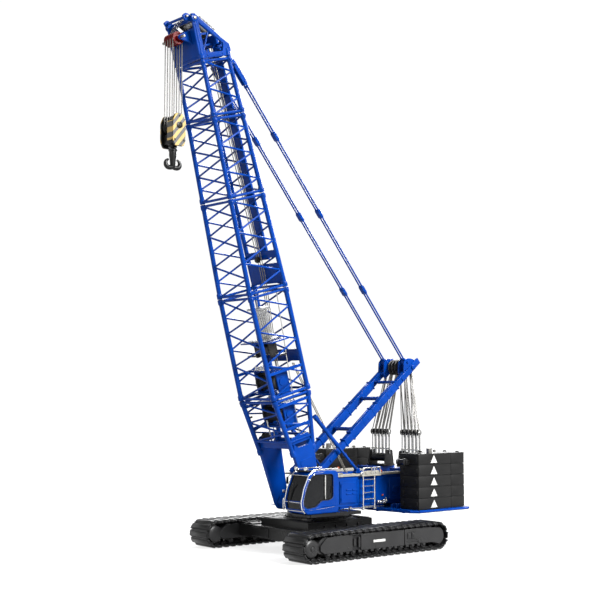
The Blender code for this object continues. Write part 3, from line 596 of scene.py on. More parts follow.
class StudioSettings(bpy.types.PropertyGroup):
    """Where the camera stands and how strong the lights are."""

    camera_place: bpy.props.FloatVectorProperty(
        name="Camera", description="Camera position", subtype="TRANSLATION", unit="LENGTH", size=3,
        default=(0.8313, 1.007, 0.171),
    )
    heading: bpy.props.FloatProperty(name="Heading", description="Look direction from +x, degrees", default=-129.74)
    pitch: bpy.props.FloatProperty(name="Pitch", description="Look direction above level, degrees", default=4.42)
    lens: bpy.props.FloatProperty(name="Lens", description="Focal length, mm", default=71.28, min=20, max=200)
    key_power: bpy.props.FloatProperty(name="Key", description="Power of the key lamp, W", default=37.5, min=0)
    floor_glow: bpy.props.FloatProperty(name="Floor", description="Glow of the floor under the crane", default=0.78)
    surround: bpy.props.FloatProperty(name="Surround", description="Strength of the room", default=1.0, min=0)


TRACK_STRAIGHT, TRACK_RADIUS, TRACK_Y = 178.0, 15.0, 82


def loop_place(distance):
    """Matrix of a spot on the track's loop: x along the belt, z outwards. distance runs from the rear of the sole."""
    straight, radius = TRACK_STRAIGHT, TRACK_RADIUS
    turn = math.pi * radius
    if distance < straight:
        x, z, angle = distance - straight / 2, 0.0, 180.0
    elif distance < straight + turn:
        swing = (distance - straight) / radius
        x, z = straight / 2 + radius * math.sin(swing), radius - radius * math.cos(swing)
        angle = 180 - math.degrees(swing)
    elif distance < 2 * straight + turn:
        x, z, angle = straight / 2 - (distance - straight - turn), 2 * radius, 0.0
    else:
        swing = (distance - 2 * straight - turn) / radius
        x, z = -straight / 2 - radius * math.sin(swing), radius + radius * math.cos(swing)
        angle = -math.degrees(swing)
    return Matrix.Translation((x, 0, z)) @ Matrix.Rotation(math.radians(angle), 4, "Y")


class CRANE_OT_tracks(bpy.types.Operator):
    """Tracks: shoes with their grousers and links, side frames, idlers, sprockets and rollers"""

    bl_idname = "crane.tracks"
    bl_label = "Tracks"

    def shoe(self, pitch):
        one = Shape()
        half = pitch / 2 - 0.3
        pad = [(-half, -13.4), (-half + 1.4, -17), (half - 1.4, -17), (half, -13.4), (half, 13.4), (half - 1.4, 17),
               (-half + 1.4, 17), (-half, 13.4)]
        one.plate(pad, -2.7, -1.4, axis="z", chamfer=0.25)
        one.plate([(-2.9, -1.6), (2.9, -1.6), (2.5, 0), (-2.3, 0)], -15.8, 15.8, chamfer=0.3)
        one.box(half - 0.9, half - 0.2, -13, 13, -1.6, -0.9, 0.15)
        for y in (-12.5, -4.2, 4.2, 12.5):
            one.box(-half - 0.9, -half + 1.6, y - 1.5, y + 1.5, -3.4, -2.2, 0.3)
        for y in (-8.3, 0, 8.3):
            one.box(half - 1.6, half + 0.8, y - 1.5, y + 1.5, -3.4, -2.2, 0.3)
        one.both(one.box, -half + 0.8, half - 0.8, 5.4, 9.2, -4.6, -2.6, 0.4)
        one.both(one.box, -1.6, 1.6, 6.4, 8.4, -5.8, -4.4, 0.5)
        one.both(one.turned, ((0.9, 0), (0.9, 1.0), (0.6, 1.3)), (half - 1.9, 16.9, -2.4), "y", 8)
        return one

    def belt(self, side, label, count):
        pitch = 2 * (TRACK_STRAIGHT + math.pi * TRACK_RADIUS) / count
        shoe, belt = self.shoe(pitch), Shape()
        for i in range(count):
            belt.paste(shoe, Matrix.Translation((0, side * TRACK_Y, 0)) @ loop_place((i + 0.5) * pitch))
        belt.piece(f"track_belt_{label}", "undercarriage", "black_paint", "track_iron", stands_for=[f"track_{label}"])

    def side_frame(self, side, label):
        """Built on the left and mirrored for the right, so that its dressed face looks outwards."""
        s = Shape()
        core = [(-82, 9), (80, 9), (84, 12), (84, 18), (74, 25.2), (-76, 25.2), (-84, 18), (-84, 12)]
        s.plate(core, 67.4, 95.0, chamfer=0.6)
        arc = [math.radians(a) for a in range(106, 258, 10)]
        rear = [(-89 + 9 * math.cos(a), 15 + 9 * math.sin(a)) for a in arc]
        s.plate([(-38.4, 8.8), (-38.4, 25.2), (-76, 25.2), *rear, (-80, 8.8)], 94.6, 97.0, chamfer=0.4)
        s.plate(rect(-37.6, 24.6, 8.8, 25.2), 94.6, 97.0, chamfer=0.4)
        s.plate([(36.4, 8.8), (74, 8.8), (79.5, 12), (79.5, 17.5), (71, 25.2), (36.4, 25.2)], 94.6, 97.0, chamfer=0.4)
        # Thin black sheets, painted shade: one at the back of the gap between the side plates, one between and round
        # the two small covers.
        s.paint = 2
        s.box(25.0, 36.0, 94.4, 95.2, 9.4, 24.8, 0.3)
        s.box(-52.8, -42.4, 96.8, 97.05, 14.4, 22.2, 0.1)
        s.paint = 0
        s.plate(soft_rect(26, 28.6, 12, 22.6, 0.9), 95.6, 97.6, chamfer=0.35)
        s.plate(soft_rect(31.5, 34.6, 14, 21, 0.9), 95.6, 96.9, chamfer=0.35)
        for x in (-44.5, -51.0):
            s.plate(soft_rect(x - 2.6, x + 2.6, 15.2, 21.6, 0.8), 96.8, 97.8, chamfer=0.3)
            s.box(x - 1.5, x + 1.5, 97.5, 98.2, 16.6, 20.2, 0.3)
        s.box(-58, -42, 96.8, 97.7, 11.6, 12.8, 0.3)
        cover = soft_outline([(-66, 10), (-58, 10), (-56, 14), (-62, 15.5), (-66, 13)], 0.8)
        s.plate(cover, 96.8, 97.9, chamfer=0.35)
        for x in (-62.5, -59.0):
            s.bolt((x, 97.8, 12.2), radius=0.8)
        for x in (-30, -18, 4, 18):
            s.bolt((x, 96.9, 22.6), radius=0.55, proud=0.45)
            s.bolt((x, 96.9, 11.2), radius=0.55, proud=0.45)
        for x in (42, 60, 72, -74, -70, -40.6):
            s.bolt((x, 96.9, 13.0), radius=0.55, proud=0.45)
        s.box(-12, 62, 94.9, 97.2, 25.0, 25.8, 0.2)
        for x in (-66, -30, 6, 42):
            s.box(x - 5, x + 5, 72, 92, 25.0, 25.7, 0.2)
        for k in range(9):
            x = (k - 4) * 17
            for y0, y1 in ((69.0, 78.6), (85.4, 95.0)):
                roller = ((1.6, y0), (2.9, y0 + 0.4), (2.9, y0 + 2.2), (2.3, y0 + 2.8),
                          (2.3, y1 - 2.8), (2.9, y1 - 2.2), (2.9, y1 - 0.4), (1.6, y1))
                s.turned(roller, (x, 0, 7.4), "y", 20)
            s.turned(((1.5, 68), (1.5, 96.2), (1.1, 96.6)), (x, 0, 7.4), "y", 12)
            s.box(x - 2.2, x + 2.2, 94.4, 96.4, 6.6, 9.6, 0.4)
        for k in range(8):
            s.box((k - 3.5) * 17 - 2.2, (k - 3.5) * 17 + 2.2, 93.8, 96.6, 6.4, 9.4, 0.5)
        for x, hub in ((89, 95.6), (-89, 94.2)):
            wheel = ((1.5, 68), (7.4, 68), (9.0, 69), (9.0, 76), (7.2, 77), (7.2, 87), (9.0, 88), (9.0, hub - 1.2),
                     (8.2, hub - 0.6), (7.0, hub), (3.4, hub), (3.0, hub - 0.4), (2.2, hub - 0.4), (2.0, hub + 0.2),
                     (1.2, hub + 0.5))
            s.turned(wheel, (x, 0, TRACK_RADIUS), "y", 44)
            for k in range(6):
                turn = 2 * math.pi * (k + 0.5) / 6
                s.bolt((x + 5.0 * math.cos(turn), hub - 0.1, 15 + 5.0 * math.sin(turn)), radius=0.5, proud=0.35)
        for k in range(11):
            turn = 2 * math.pi * k / 11
            spot = Matrix.Translation((-TRACK_STRAIGHT / 2, TRACK_Y, TRACK_RADIUS)) @ Matrix.Rotation(turn, 4, "Y")
            s.paste(Shape().box(-1.1, 1.1, -3.6, 3.6, 8.0, 11.2, 0.4), spot)
        s.paint = 1
        s.plate(soft_rect(-9.5, 7.5, 15.4, 18.0, 0.4), 96.7, 97.3, chamfer=0.12)
        if side < 0:
            s.verts = [Vector((v.x, -v.y, v.z)) for v in s.verts]
            s.faces = [face[::-1] for face in s.faces]
        s.piece(f"track_side_frame_{label}", "undercarriage", "black_paint",
                "side_frame_grey", "marking_white", "rubber_black_and_painted_shade", stands_for=[f"track_frame_{label}"])

    def execute(self, context):
        for side, label in SIDES:
            self.belt(side, label, context.scene.crane_sizes.shoe_count)
            self.side_frame(side, label)
        return {"FINISHED"}


class CRANE_OT_carbody(bpy.types.Operator):
    """Carbody and slewing ring: deck plates, beam ends, pins, steps and ring bolts"""

    bl_idname = "crane.carbody"
    bl_label = "Carbody"

    def execute(self, context):
        dress("carbody", "undercarriage_black")
        dress("slewing_ring", "dark_steel")
        s = Shape()
        for front in (1, -1):
            x = 46 if front > 0 else -40
            for side in (1, -1):
                s.box(x - 9.5, x + 9.5, side * 55 - 9, side * 55 + 9, 24.7, 26.2, 0.5)
                s.box(x - 11.3, x + 11.3, side * 62.6 - 1.4, side * 62.6 + 1.4, 10.8, 27.2, 0.4)
                for dx in (-7, 7):
                    s.turned(((1.5, 26.0), (1.5, 27.2), (0.8, 27.8)), (x + dx, side * 55, 0), "z", 14)
                    s.turned(((2.2, 24.8), (2.2, 26.6), (1.2, 26.9)), (x + dx, side * 55, 0), "z", 18)
                face = x + front * 12
                s.box(face - front * 0.3, face + front * 0.9, side * 14, side * 44, 13.5, 23.5, 0.4)
                for y in (18, 29, 40):
                    s.bolt((face + front * 0.8, side * y, 21.4), "x", 0.6, front * 0.5)
                    s.bolt((face + front * 0.8, side * y, 15.4), "x", 0.6, front * 0.5)
        for x0, x1 in ((36.5, 46.5), (-42.5, -36.5)):
            s.box(x0, x1, -38, 38, 32.8, 33.8, 0.3)
        for side in (1, -1):
            s.box(-30, 34, side * 38.6, side * 40.6, 14, 31.5, 0.4)
            for x in (-22, -6, 10, 26):
                s.box(x - 1, x + 1, side * 38, side * 42.6, 15.5, 29.5, 0.3)
            for x in (-32, 36):
                s.turned(((2.6, 0), (2.6, 1.2), (1.4, 1.8)), (x, side * 33, 33), "z", 18)
        for k in range(36):
            turn = 2 * math.pi * k / 36
            s.bolt((36.4 * math.cos(turn), 36.4 * math.sin(turn), 35.0), "z", 0.8, 0.8)
            s.bolt((32.9 * math.cos(turn), 32.9 * math.sin(turn), 40.0), "z", 0.55, 0.6)
        s.turned(((34.6, 36.2), (35.4, 36.6), (35.4, 37.6), (34.6, 38.0)), (0, 0, 0), "z", 72)
        s.piece("carbody_fittings", "undercarriage", "black_paint", "undercarriage_black")
        return {"FINISHED"}


def dress(name, finish):
    """Gives a CAD node its finish."""
    node = NODES[name]
    node.data.materials.clear()
    node.data.materials.append(FINISHES[finish])
    node.data.shade_smooth()
    node.data.set_sharp_from_angle(angle=SMOOTH_ANGLE)


class CRANE_OT_superstructure(bpy.types.Operator):
    """Revolving frame and machinery houses: door panels, hinges, handles, louvres, deck strips and machinery"""

    bl_idname = "crane.superstructure"
    bl_label = "Superstructure"

    def house_side(self, s):
        """Door panels and fittings of the left house."""
        s.both(s.box, 3.2, 7.4, 37.6, 38.8, 49, 77, 0.3)
        for x0, x1 in ((-48.4, -36.2), (-35.4, -23.4)):
            s.both(s.plate, soft_rect(x0, x1, 50, 76, 1.0), 37.7, 38.7, chamfer=0.25)
        for x0, x1 in ((-91.2, -71.4), (-70.6, -50.8)):
            s.both(s.plate, soft_rect(x0, x1, 51, 75, 1.2), 38.7, 39.7, chamfer=0.3)
        s.both(s.plate, soft_rect(-21, 1, 51, 73, 1.2), 38.7, 39.7, chamfer=0.3)
        for x in (-91.0, -51.0, -70.3):
            for z in (54.5, 71.5):
                s.both(s.tube, ((x, 39.9, z - 1.6), (x, 39.9, z + 1.6)), 0.55, 10)
        for z in (55, 69):
            s.both(s.tube, ((0.8, 39.9, z - 1.6), (0.8, 39.9, z + 1.6)), 0.55, 10)
        for x, z in ((-18.5, 60.6), (-18.5, 64.8), (-9.5, 60.6), (-9.5, 64.8)):
            s.both(s.box, x - 3.4, x + 3.4, 39.5, 40.6, z - 0.7, z + 0.7, 0.25)
        for y, spots in ((39.7, ((-19.6, 70.8), (-0.6, 70.8), (-19.6, 53), (-0.6, 53))),
                         (38.8, ((5.3, 74), (5.3, 52), (-46.6, 73.8), (-25.2, 73.8)))):
            for x, z in spots:
                s.both(s.bolt, (x, y, z), radius=0.5, proud=0.5)
        for k in range(7):
            z = 55.4 + k * 1.6
            s.both(s.box, -86, -76, 39.4, 40.3, z, z + 0.8, 0.2)
        s.both(s.box, -95.6, -93.2, 37.4, 38.9, 48.4, 78, 0.3)

    def deck_bits(self, s):
        for x0, x1 in ((-95, -56), (-24, 6)):
            s.both(s.box, x0, x1, 39.2, 40.2, 80.8, 81.7, 0.25)
        for x in (-88, -66, -20, -4):
            s.both(s.box, x - 2.2, x + 2.2, 33, 37, 80.9, 81.8, 0.3)

    def machinery(self, s):
        s.box(-58, -38, -13, 13, 57.6, 70, 0.8)
        s.box(-33, -12, -19, -3, 57.6, 68, 0.7)
        s.box(-31, -14, 0, 18, 57.6, 64, 0.7)
        for y in (-10, -5, 0, 5, 10):
            s.box(-56, -40, y - 1.4, y + 1.4, 69.6, 71.4, 0.4)
        for k in range(6):
            s.turned(((1.6, 63.8), (1.6, 65.6), (1.0, 66.4)), (-29 + 2.8 * k, 12, 0), "z", 14)
        for x, y in ((-48, 17), (-40, 17)):
            s.turned(((2.6, 58), (2.6, 69), (1.4, 71), (1.4, 74.5), (1.7, 75)), (x, y, 0), "z", 20)

    def pipes(self, s):
        for k in range(4):
            y = -17 + k * 2.4
            s.tube(rounded([(-58, y, 60), (-62, y, 66), (-70, y, 77.2), (-124, y, 77.2)], 3), 0.7, 9)
        for k in range(3):
            y = 6 + k * 2.4
            s.tube(rounded([(-38, y, 68), (-24, y, 72), (-10, y + 2, 70), (-4, y + 3, 60)], 4), 0.7, 9)

    def rear(self, s):
        for y in (-18, -6, 6, 18):
            s.box(-132.8, -131.4, y - 5, y + 5, 49, 74, 0.3)
        for k in range(9):
            s.box(-133.4, -132.4, -11, 11, 51 + k * 2.5, 52.4 + k * 2.5, 0.25)
        s.both(s.box, -130, -98, 41.4, 44.6, 49, 52, 0.4)
        for x in (-126, -114, -102):
            s.both(s.box, x - 0.8, x + 0.8, 43.6, 46.4, 48, 80, 0.3)

    def execute(self, context):
        dress("superstructure_frame", "crane_blue")
        for _, label in SIDES:
            dress(f"machinery_house_{label}", "crane_blue")
            dress(f"deck_walkway_{label}", "deck_beige")
        s = Shape()
        self.house_side(s)
        self.rear(s)
        for x in (-4, 8, 20):
            s.both(s.box, x - 0.7, x + 0.7, 36, 58, 44, 44.9, 0.2)
        s.piece("machinery_doors", "superstructure", "blue_paint", "crane_blue")
        s = Shape()
        self.deck_bits(s)
        s.piece("deck_edges", "superstructure", "beige_paint", "deck_beige")
        s = Shape()
        self.machinery(s)
        s.both(s.turned, ((2.0, 15.2), (2.9, 15.6), (2.9, 16.6), (2.0, 17.0)), (29, 0, 50), "y", 24)
        s.turned(((1.4, 54), (3.4, 54), (3.4, 56), (1.4, 56)), (-60, 0, 0), "z", 16)
        s.piece("deck_machinery", "superstructure", "black_paint", "dark_steel")
        s = Shape()
        self.pipes(s)
        s.piece("hydraulic_pipes", "superstructure", "silver_metal", "bright_steel")
        s = Shape()
        # Fittings below the rear of the house, ahead of the counterweight
        for x, z, r in ((-54, 49.5, 2.0), (-58.6, 49.2, 1.6), (-62.6, 50.4, 1.9)):
            coupling = ((r * 0.6, 38.4), (r, 38.8), (r, 41.2), (r * 0.6, 41.8),
                        (r * 0.5, 43.4), (r * 0.7, 43.6), (r * 0.7, 44.2), (r * 0.3, 44.6))
            s.both(s.turned, coupling, (x, 0, z), "y", 16)
        s.both(s.tube, rounded([(-52, 39.6, 47.6), (-66, 39.6, 47.6), (-66, 39.6, 54)], 2), 0.6, 10)
        s.both(s.box, -66, -2, 35.6, 37.4, 43.6, 44.9, 0.3)
        for x in (-34, -14):
            s.both(s.box, x - 1.2, x + 1.2, 35, 38.6, 43.4, 46.2, 0.3)
        s.both(s.box, -12, 6, 26.6, 28.0, 81, 82.6, 0.3)
        s.piece("superstructure_fittings", "superstructure", "silver_metal", "bright_steel")
        s = Shape()
        s.both(s.turned, ((1.0, 81.4), (1.3, 82), (1.3, 83.4), (0.7, 84.2)), (-62, 36, 0), "z", 16)
        s.both(s.turned, ((0.5, 39.6), (1.1, 40), (1.0, 40.8), (0.5, 41.2)), (-60, 0, 56.6), "y", 14)
        s.piece("marker_lamps", "superstructure", "red_paint", "lamp_orange")
        return {"FINISHED"}


# The cab's outlines, seen from the side as (x, z)
CAB_OUTLINE = [(25, 44.6), (68, 44.6), (74.6, 50), (76, 57), (72.4, 71), (65.6, 85), (59, 89), (29, 89), (25, 86)]
CAB_INSIDE = [(27, 46.6), (67, 46.6), (72.8, 51.4), (74, 57), (70.4, 70.4), (64, 83.8), (58.4, 87), (29.6, 87),
              (27, 85)]
CAB_SIDE_WINDOW = [(33, 61), (37.5, 58.4), (49, 58.4), (56, 52.4), (68, 51.0), (72.2, 53.6), (73.0, 58), (69.6, 70.4),
                   (64.0, 81.8), (60, 85.2), (35, 85.2), (33, 83.2)]
CAB_INNER, CAB_OUTER = 34.4, 63.0


class CRANE_OT_cab(bpy.types.Operator):
    """Operator's cab: shell, window frames, tinted glass, seat, levers, wiper, lamps and mirror"""

    bl_idname = "crane.cab"
    bl_label = "Cab"

    def nose_line(self, low, high):
        """Points down the cab's nose between two heights."""
        nose = CAB_OUTLINE[6:0:-1]
        line = []
        for k in range(25):
            z = high + (low - high) * k / 24
            for (x0, z0), (x1, z1) in zip(nose, nose[1:]):
                if z1 <= z <= z0:
                    line.append((x0 + (x1 - x0) * (z0 - z) / (z0 - z1), z))
                    break
        return line

    def shell(self):
        body = Shape().plate(soft_outline(CAB_OUTLINE, 3.4), CAB_INNER, CAB_OUTER, chamfer=1.5, segments=3)
        inner, outer = CAB_INNER + 1.8, CAB_OUTER - 1.8
        hollow = Shape().plate(soft_outline(CAB_INSIDE, 2.6), inner, outer, chamfer=0)
        side = Shape().plate(soft_outline(CAB_SIDE_WINDOW, 2.4), CAB_INNER - 1, CAB_OUTER + 1, chamfer=0)
        screen = soft_rect(inner + 0.4, outer - 0.4, 58.6, 84.2, 1.8)
        lower = soft_rect(inner + 1.2, outer - 1.2, 50.2, 56.8, 1.4)
        rear = soft_rect(inner + 4, outer - 4, 62, 84, 1.6)
        roof = soft_outline([(inner + 3, 40), (inner + 3, 56), (outer - 3, 56), (outer - 3, 40)], 2)
        body.cut(
            hollow, side, Shape().plate(screen, 60.6, 80, "x", 0), Shape().plate(lower, 66, 80, "x", 0),
            Shape().plate(rear, 20, 32, "x", 0), Shape().plate([(b, a) for a, b in roof], 86, 92, "z", 0),
        )
        body.box(58.6, 60.4, 36, 61.4, 86.6, 88.4, 0.3)
        body.tube(rounded([(27, 62.9, 52.2), (52, 62.9, 52.2), (57, 62.9, 49.8), (72, 62.9, 49.6)], 2), 0.55, 10)
        body.tube(((27, 62.6, 46.2), (69, 62.6, 46.2)), 0.5, 10)
        return body

    def frames(self, s):
        """Bright mouldings round the windscreen, the lower window and the door window, and a thin bright strip along
        the skirt that is a painted highlight.
        """
        inner, outer = CAB_INNER + 1.0, CAB_OUTER - 0.7
        for y in (inner, outer):
            line = [(x + 0.25, y, z) for x, z in self.nose_line(48.6, 86.8)]
            s.tube(rounded([(57, y, 89.5), *line, (71.0, y, 46.4)], 0.6, 2), 0.52, 12)
        second = [(x - 2.0, CAB_OUTER + 0.02, z) for x, z in self.nose_line(50, 80)]
        s.tube(rounded([(46, CAB_OUTER + 0.02, 87.4), (58, CAB_OUTER + 0.02, 86.6), *second], 1.2, 2), 0.2, 10)
        # A thin bright strip along the lower skirt: a painted highlight.
        s.tube(((31, CAB_OUTER + 0.1, 51.2), (66, CAB_OUTER + 0.1, 49.0)), 0.16, 8)
        for z, x, r in ((57.4, 76.0, 0.36), (48.4, 73.4, 0.4), (84.4, 66.2, 0.34)):
            s.tube(((x, inner, z), (x, outer, z)), r, 10)
        s.box(43.2, 44.5, CAB_OUTER - 0.6, CAB_OUTER + 0.5, 59.4, 84.6, 0.3)
        for end, middle, front in ((62.0, 62.2, 62.0), (35.6, 35.6, 35.8)):
            rail = [(24.8, end, 90.4), (45, middle, 90.6), (58, middle, 90.4), (61.5, front, 88.6)]
            s.tube(rounded(rail, 2), 0.55, 10)
        for x in (28, 44, 57):
            for y in (35.6, 62.0):
                s.tube(((x, y, 88.6), (x, y, 90.5)), 0.45, 8)
        s.tube(rounded([(75.4, 35, 49.2), (77.0, 34.2, 48.4), (77.0, 34.2, 60), (75.6, 34.8, 61)], 1.5), 0.45, 9)

    def glass(self, s):
        inner, outer = CAB_INNER + 1.8, CAB_OUTER - 1.8
        for low, high in ((49.6, 57.4), (58.0, 84.6)):
            line = [(x - 1.3, z) for x, z in self.nose_line(low, high)]
            s.plate([*line, *[(x - 0.7, z) for x, z in line[::-1]]], inner + 0.1, outer - 0.1, chamfer=0)
        pane = [(x - 0.6 if x < 50 else x + 0.4, z) for x, z in CAB_SIDE_WINDOW]
        s.plate(soft_outline(pane, 2.4), outer + 0.1, outer + 0.8, chamfer=0.1)
        s.plate(soft_outline(pane, 2.4), inner - 0.8, inner - 0.1, chamfer=0.1)
        s.plate(rect(inner + 3.6, outer - 3.6, 61.6, 84.4), 26.0, 26.7, "x", 0)
        s.plate(rect(39, 56.4, inner + 2.8, outer - 2.8), 87.2, 87.9, "z", 0)

    def inside(self, s):
        cushion = soft_outline([(37, 55.6), (50.6, 55.0), (52, 57), (51, 59), (41.4, 59.6), (38, 59)], 1.4)
        s.plate(cushion, 43.4, 53.6, chamfer=1.0, segments=3)
        backrest = soft_outline([(37, 58.4), (41, 58.6), (40, 75), (38.4, 80), (35.4, 80), (34.6, 75)], 1.6)
        s.plate(backrest, 43.8, 53.2, chamfer=1.2, segments=3)
        s.box(38.4, 50, 44.4, 52.6, 47.2, 55.6, 0.8, 2)
        for y in (41.2, 55.8):
            armrest = soft_outline([(39, 60.4), (54, 60.4), (56, 62), (55, 63.6), (39, 63.2)], 0.8)
            s.plate(armrest, y - 1.4, y + 1.4, chamfer=0.5)
            s.tube(rounded([(53.6, y, 63), (54, y, 67), (55, y, 69.4)], 1), (0.5,) * 7 + (0.9,), 10)
        s.box(60, 69, 40, 57.6, 47, 52, 0.8, 2)
        s.tube(((64, 48.5, 51), (60.4, 48.5, 62)), 0.8, 10)
        turns = [k / 3.82 for k in range(24)]
        rim = [(60.0 + 1.3 * math.sin(a), 48.5 + 4.0 * math.cos(a), 62.4 + 3.4 * math.sin(a)) for a in turns]
        s.tube(rim, 0.5, 8, closed=True)
        s.box(28, 34, 37.4, 59, 47, 66, 0.8)

    def execute(self, context):
        self.shell().piece("cab_body", "superstructure", "blue_paint", "crane_blue", stands_for=["cab_shell"])
        s = Shape()
        self.frames(s)
        s.piece("cab_window_frames", "superstructure", "silver_metal", "frame_silver")
        s = Shape()
        self.glass(s)
        s.piece("cab_panes", "superstructure", "black_paint", "cab_glass")
        s = Shape()
        self.inside(s)
        s.piece("cab_interior", "superstructure", "seat_plastic", "seat_black", stands_for=["cab_seat"])
        s = Shape()
        s.plate(soft_rect(57.4, 66.2, 38, 59.4, 1.2), 88.4, 89.6, "z", 0.4)
        s.tube(rounded([(73.2, 42, 58.6), (73.4, 42.4, 66), (70.2, 47, 76)], 2), 0.35, 8)
        s.tube(((75.4, 42, 58.4), (71.4, 45, 77)), 0.4, 8)
        s.box(74.4, 76.4, 40.6, 43.4, 56.6, 58.6, 0.4)
        for y in (CAB_INNER - 0.1, CAB_OUTER + 0.1):
            s.tube([(x, y, z) for x, z in soft_outline(CAB_SIDE_WINDOW, 2.4)], 0.34, 8, closed=True)
        s.box(-8.5, 62.5, 34.3, 61.4, 41.0, 44.5, 0.3)
        s.plate(soft_rect(24.2, 25.4, 48, 60, 0.3), 38, 60, chamfer=0.2)
        s.plate(soft_outline([(27, 41.2), (66, 41.2), (70, 44.8), (27, 44.8)], 1), 37.0, 60.6, chamfer=0.4)
        s.tube(rounded([(34.2, 63.1, 66), (34.2, 64.2, 66), (34.2, 64.2, 72), (34.2, 63.1, 72)], 0.8), 0.4, 8)
        s.tube(rounded([(62, 33.8, 84), (66, 31.4, 84), (68, 30.6, 82)], 1.4), 0.45, 8)
        s.plate(soft_rect(66.6, 69.4, 74.6, 82, 0.8), 29.4, 30.8, chamfer=0.4)
        s.piece("cab_trim", "superstructure", "black_paint", "rubber_black_and_painted_shade")
        s = Shape()
        for y in (41, 56.4):
            s.turned(((0.8, 63.6), (2.0, 64.2), (2.0, 66.0), (1.6, 66.3)), (0, y, 91.3), "x", 20)
            s.box(63.2, 64.8, y - 0.5, y + 0.5, 88.8, 90.2, 0.2)
        s.both(s.box, 26.4, 30, 24.6, 29, 60, 63, 0.4)
        s.piece("cab_lamps", "superstructure", "silver_metal", "frame_silver")
        return {"FINISHED"}


LADDER_Y = 43.4


class CRANE_OT_ladder(bpy.types.Operator):
    """Ladder, landing and hand rails on the left side"""

    bl_idname = "crane.ladder"
    bl_label = "Ladder and rails"

    def execute(self, context):
        s = Shape()
        for x in (-28, -45):
            s.tube(rounded([(x, LADDER_Y, 43.6), (x, LADDER_Y, 87.4), (x, LADDER_Y, 88)], 0.5), 0.75, 12)
            s.box(x - 1.6, x + 1.6, 41.6, 45.0, 42.6, 44.2, 0.4)
            for z in (49, 66):
                s.tube(((x, LADDER_Y, z), (x, 38.6, z)), 0.5, 10)
        for z in (46, 54, 61, 68, 75):
            s.tube(((-28, LADDER_Y, z), (-45, LADDER_Y, z)), 0.62, 12)
        hoop = rounded([(-54, LADDER_Y, 80), (-54, LADDER_Y, 87.6), (-27.6, LADDER_Y, 87.6),
            (-27.6, LADDER_Y, 80)], 3)
        s.tube(hoop, 0.7, 12)
        s.tube(rounded([(-54, LADDER_Y, 87.6), (-54, 37, 87.6), (-54, 37, 81)], 2), 0.6, 12)
        s.tube(((-41, LADDER_Y, 80), (-41, LADDER_Y, 87.6)), 0.55, 10)
        s.piece("ladder", "superstructure", "silver_metal", "frame_silver", stands_for=["ladder_and_rails"])
        s = Shape()
        s.box(-54.4, -25.6, 40.2, 44.4, 78.7, 80.5, 0.35)
        s.box(-53, -29, 41.0, 43.0, 80.3, 84.4, 0.4)
        for x in (-47, -39, -32):
            s.turned(((0.5, 42.9), (0.8, 43.2), (0.8, 43.8), (0.4, 44.1)), (x, 0, 82.6), "y", 12)
        s.piece("ladder_landing", "superstructure", "beige_paint", "deck_beige")
        return {"FINISHED"}


SLABS, SLAB_FACE = 5, 91


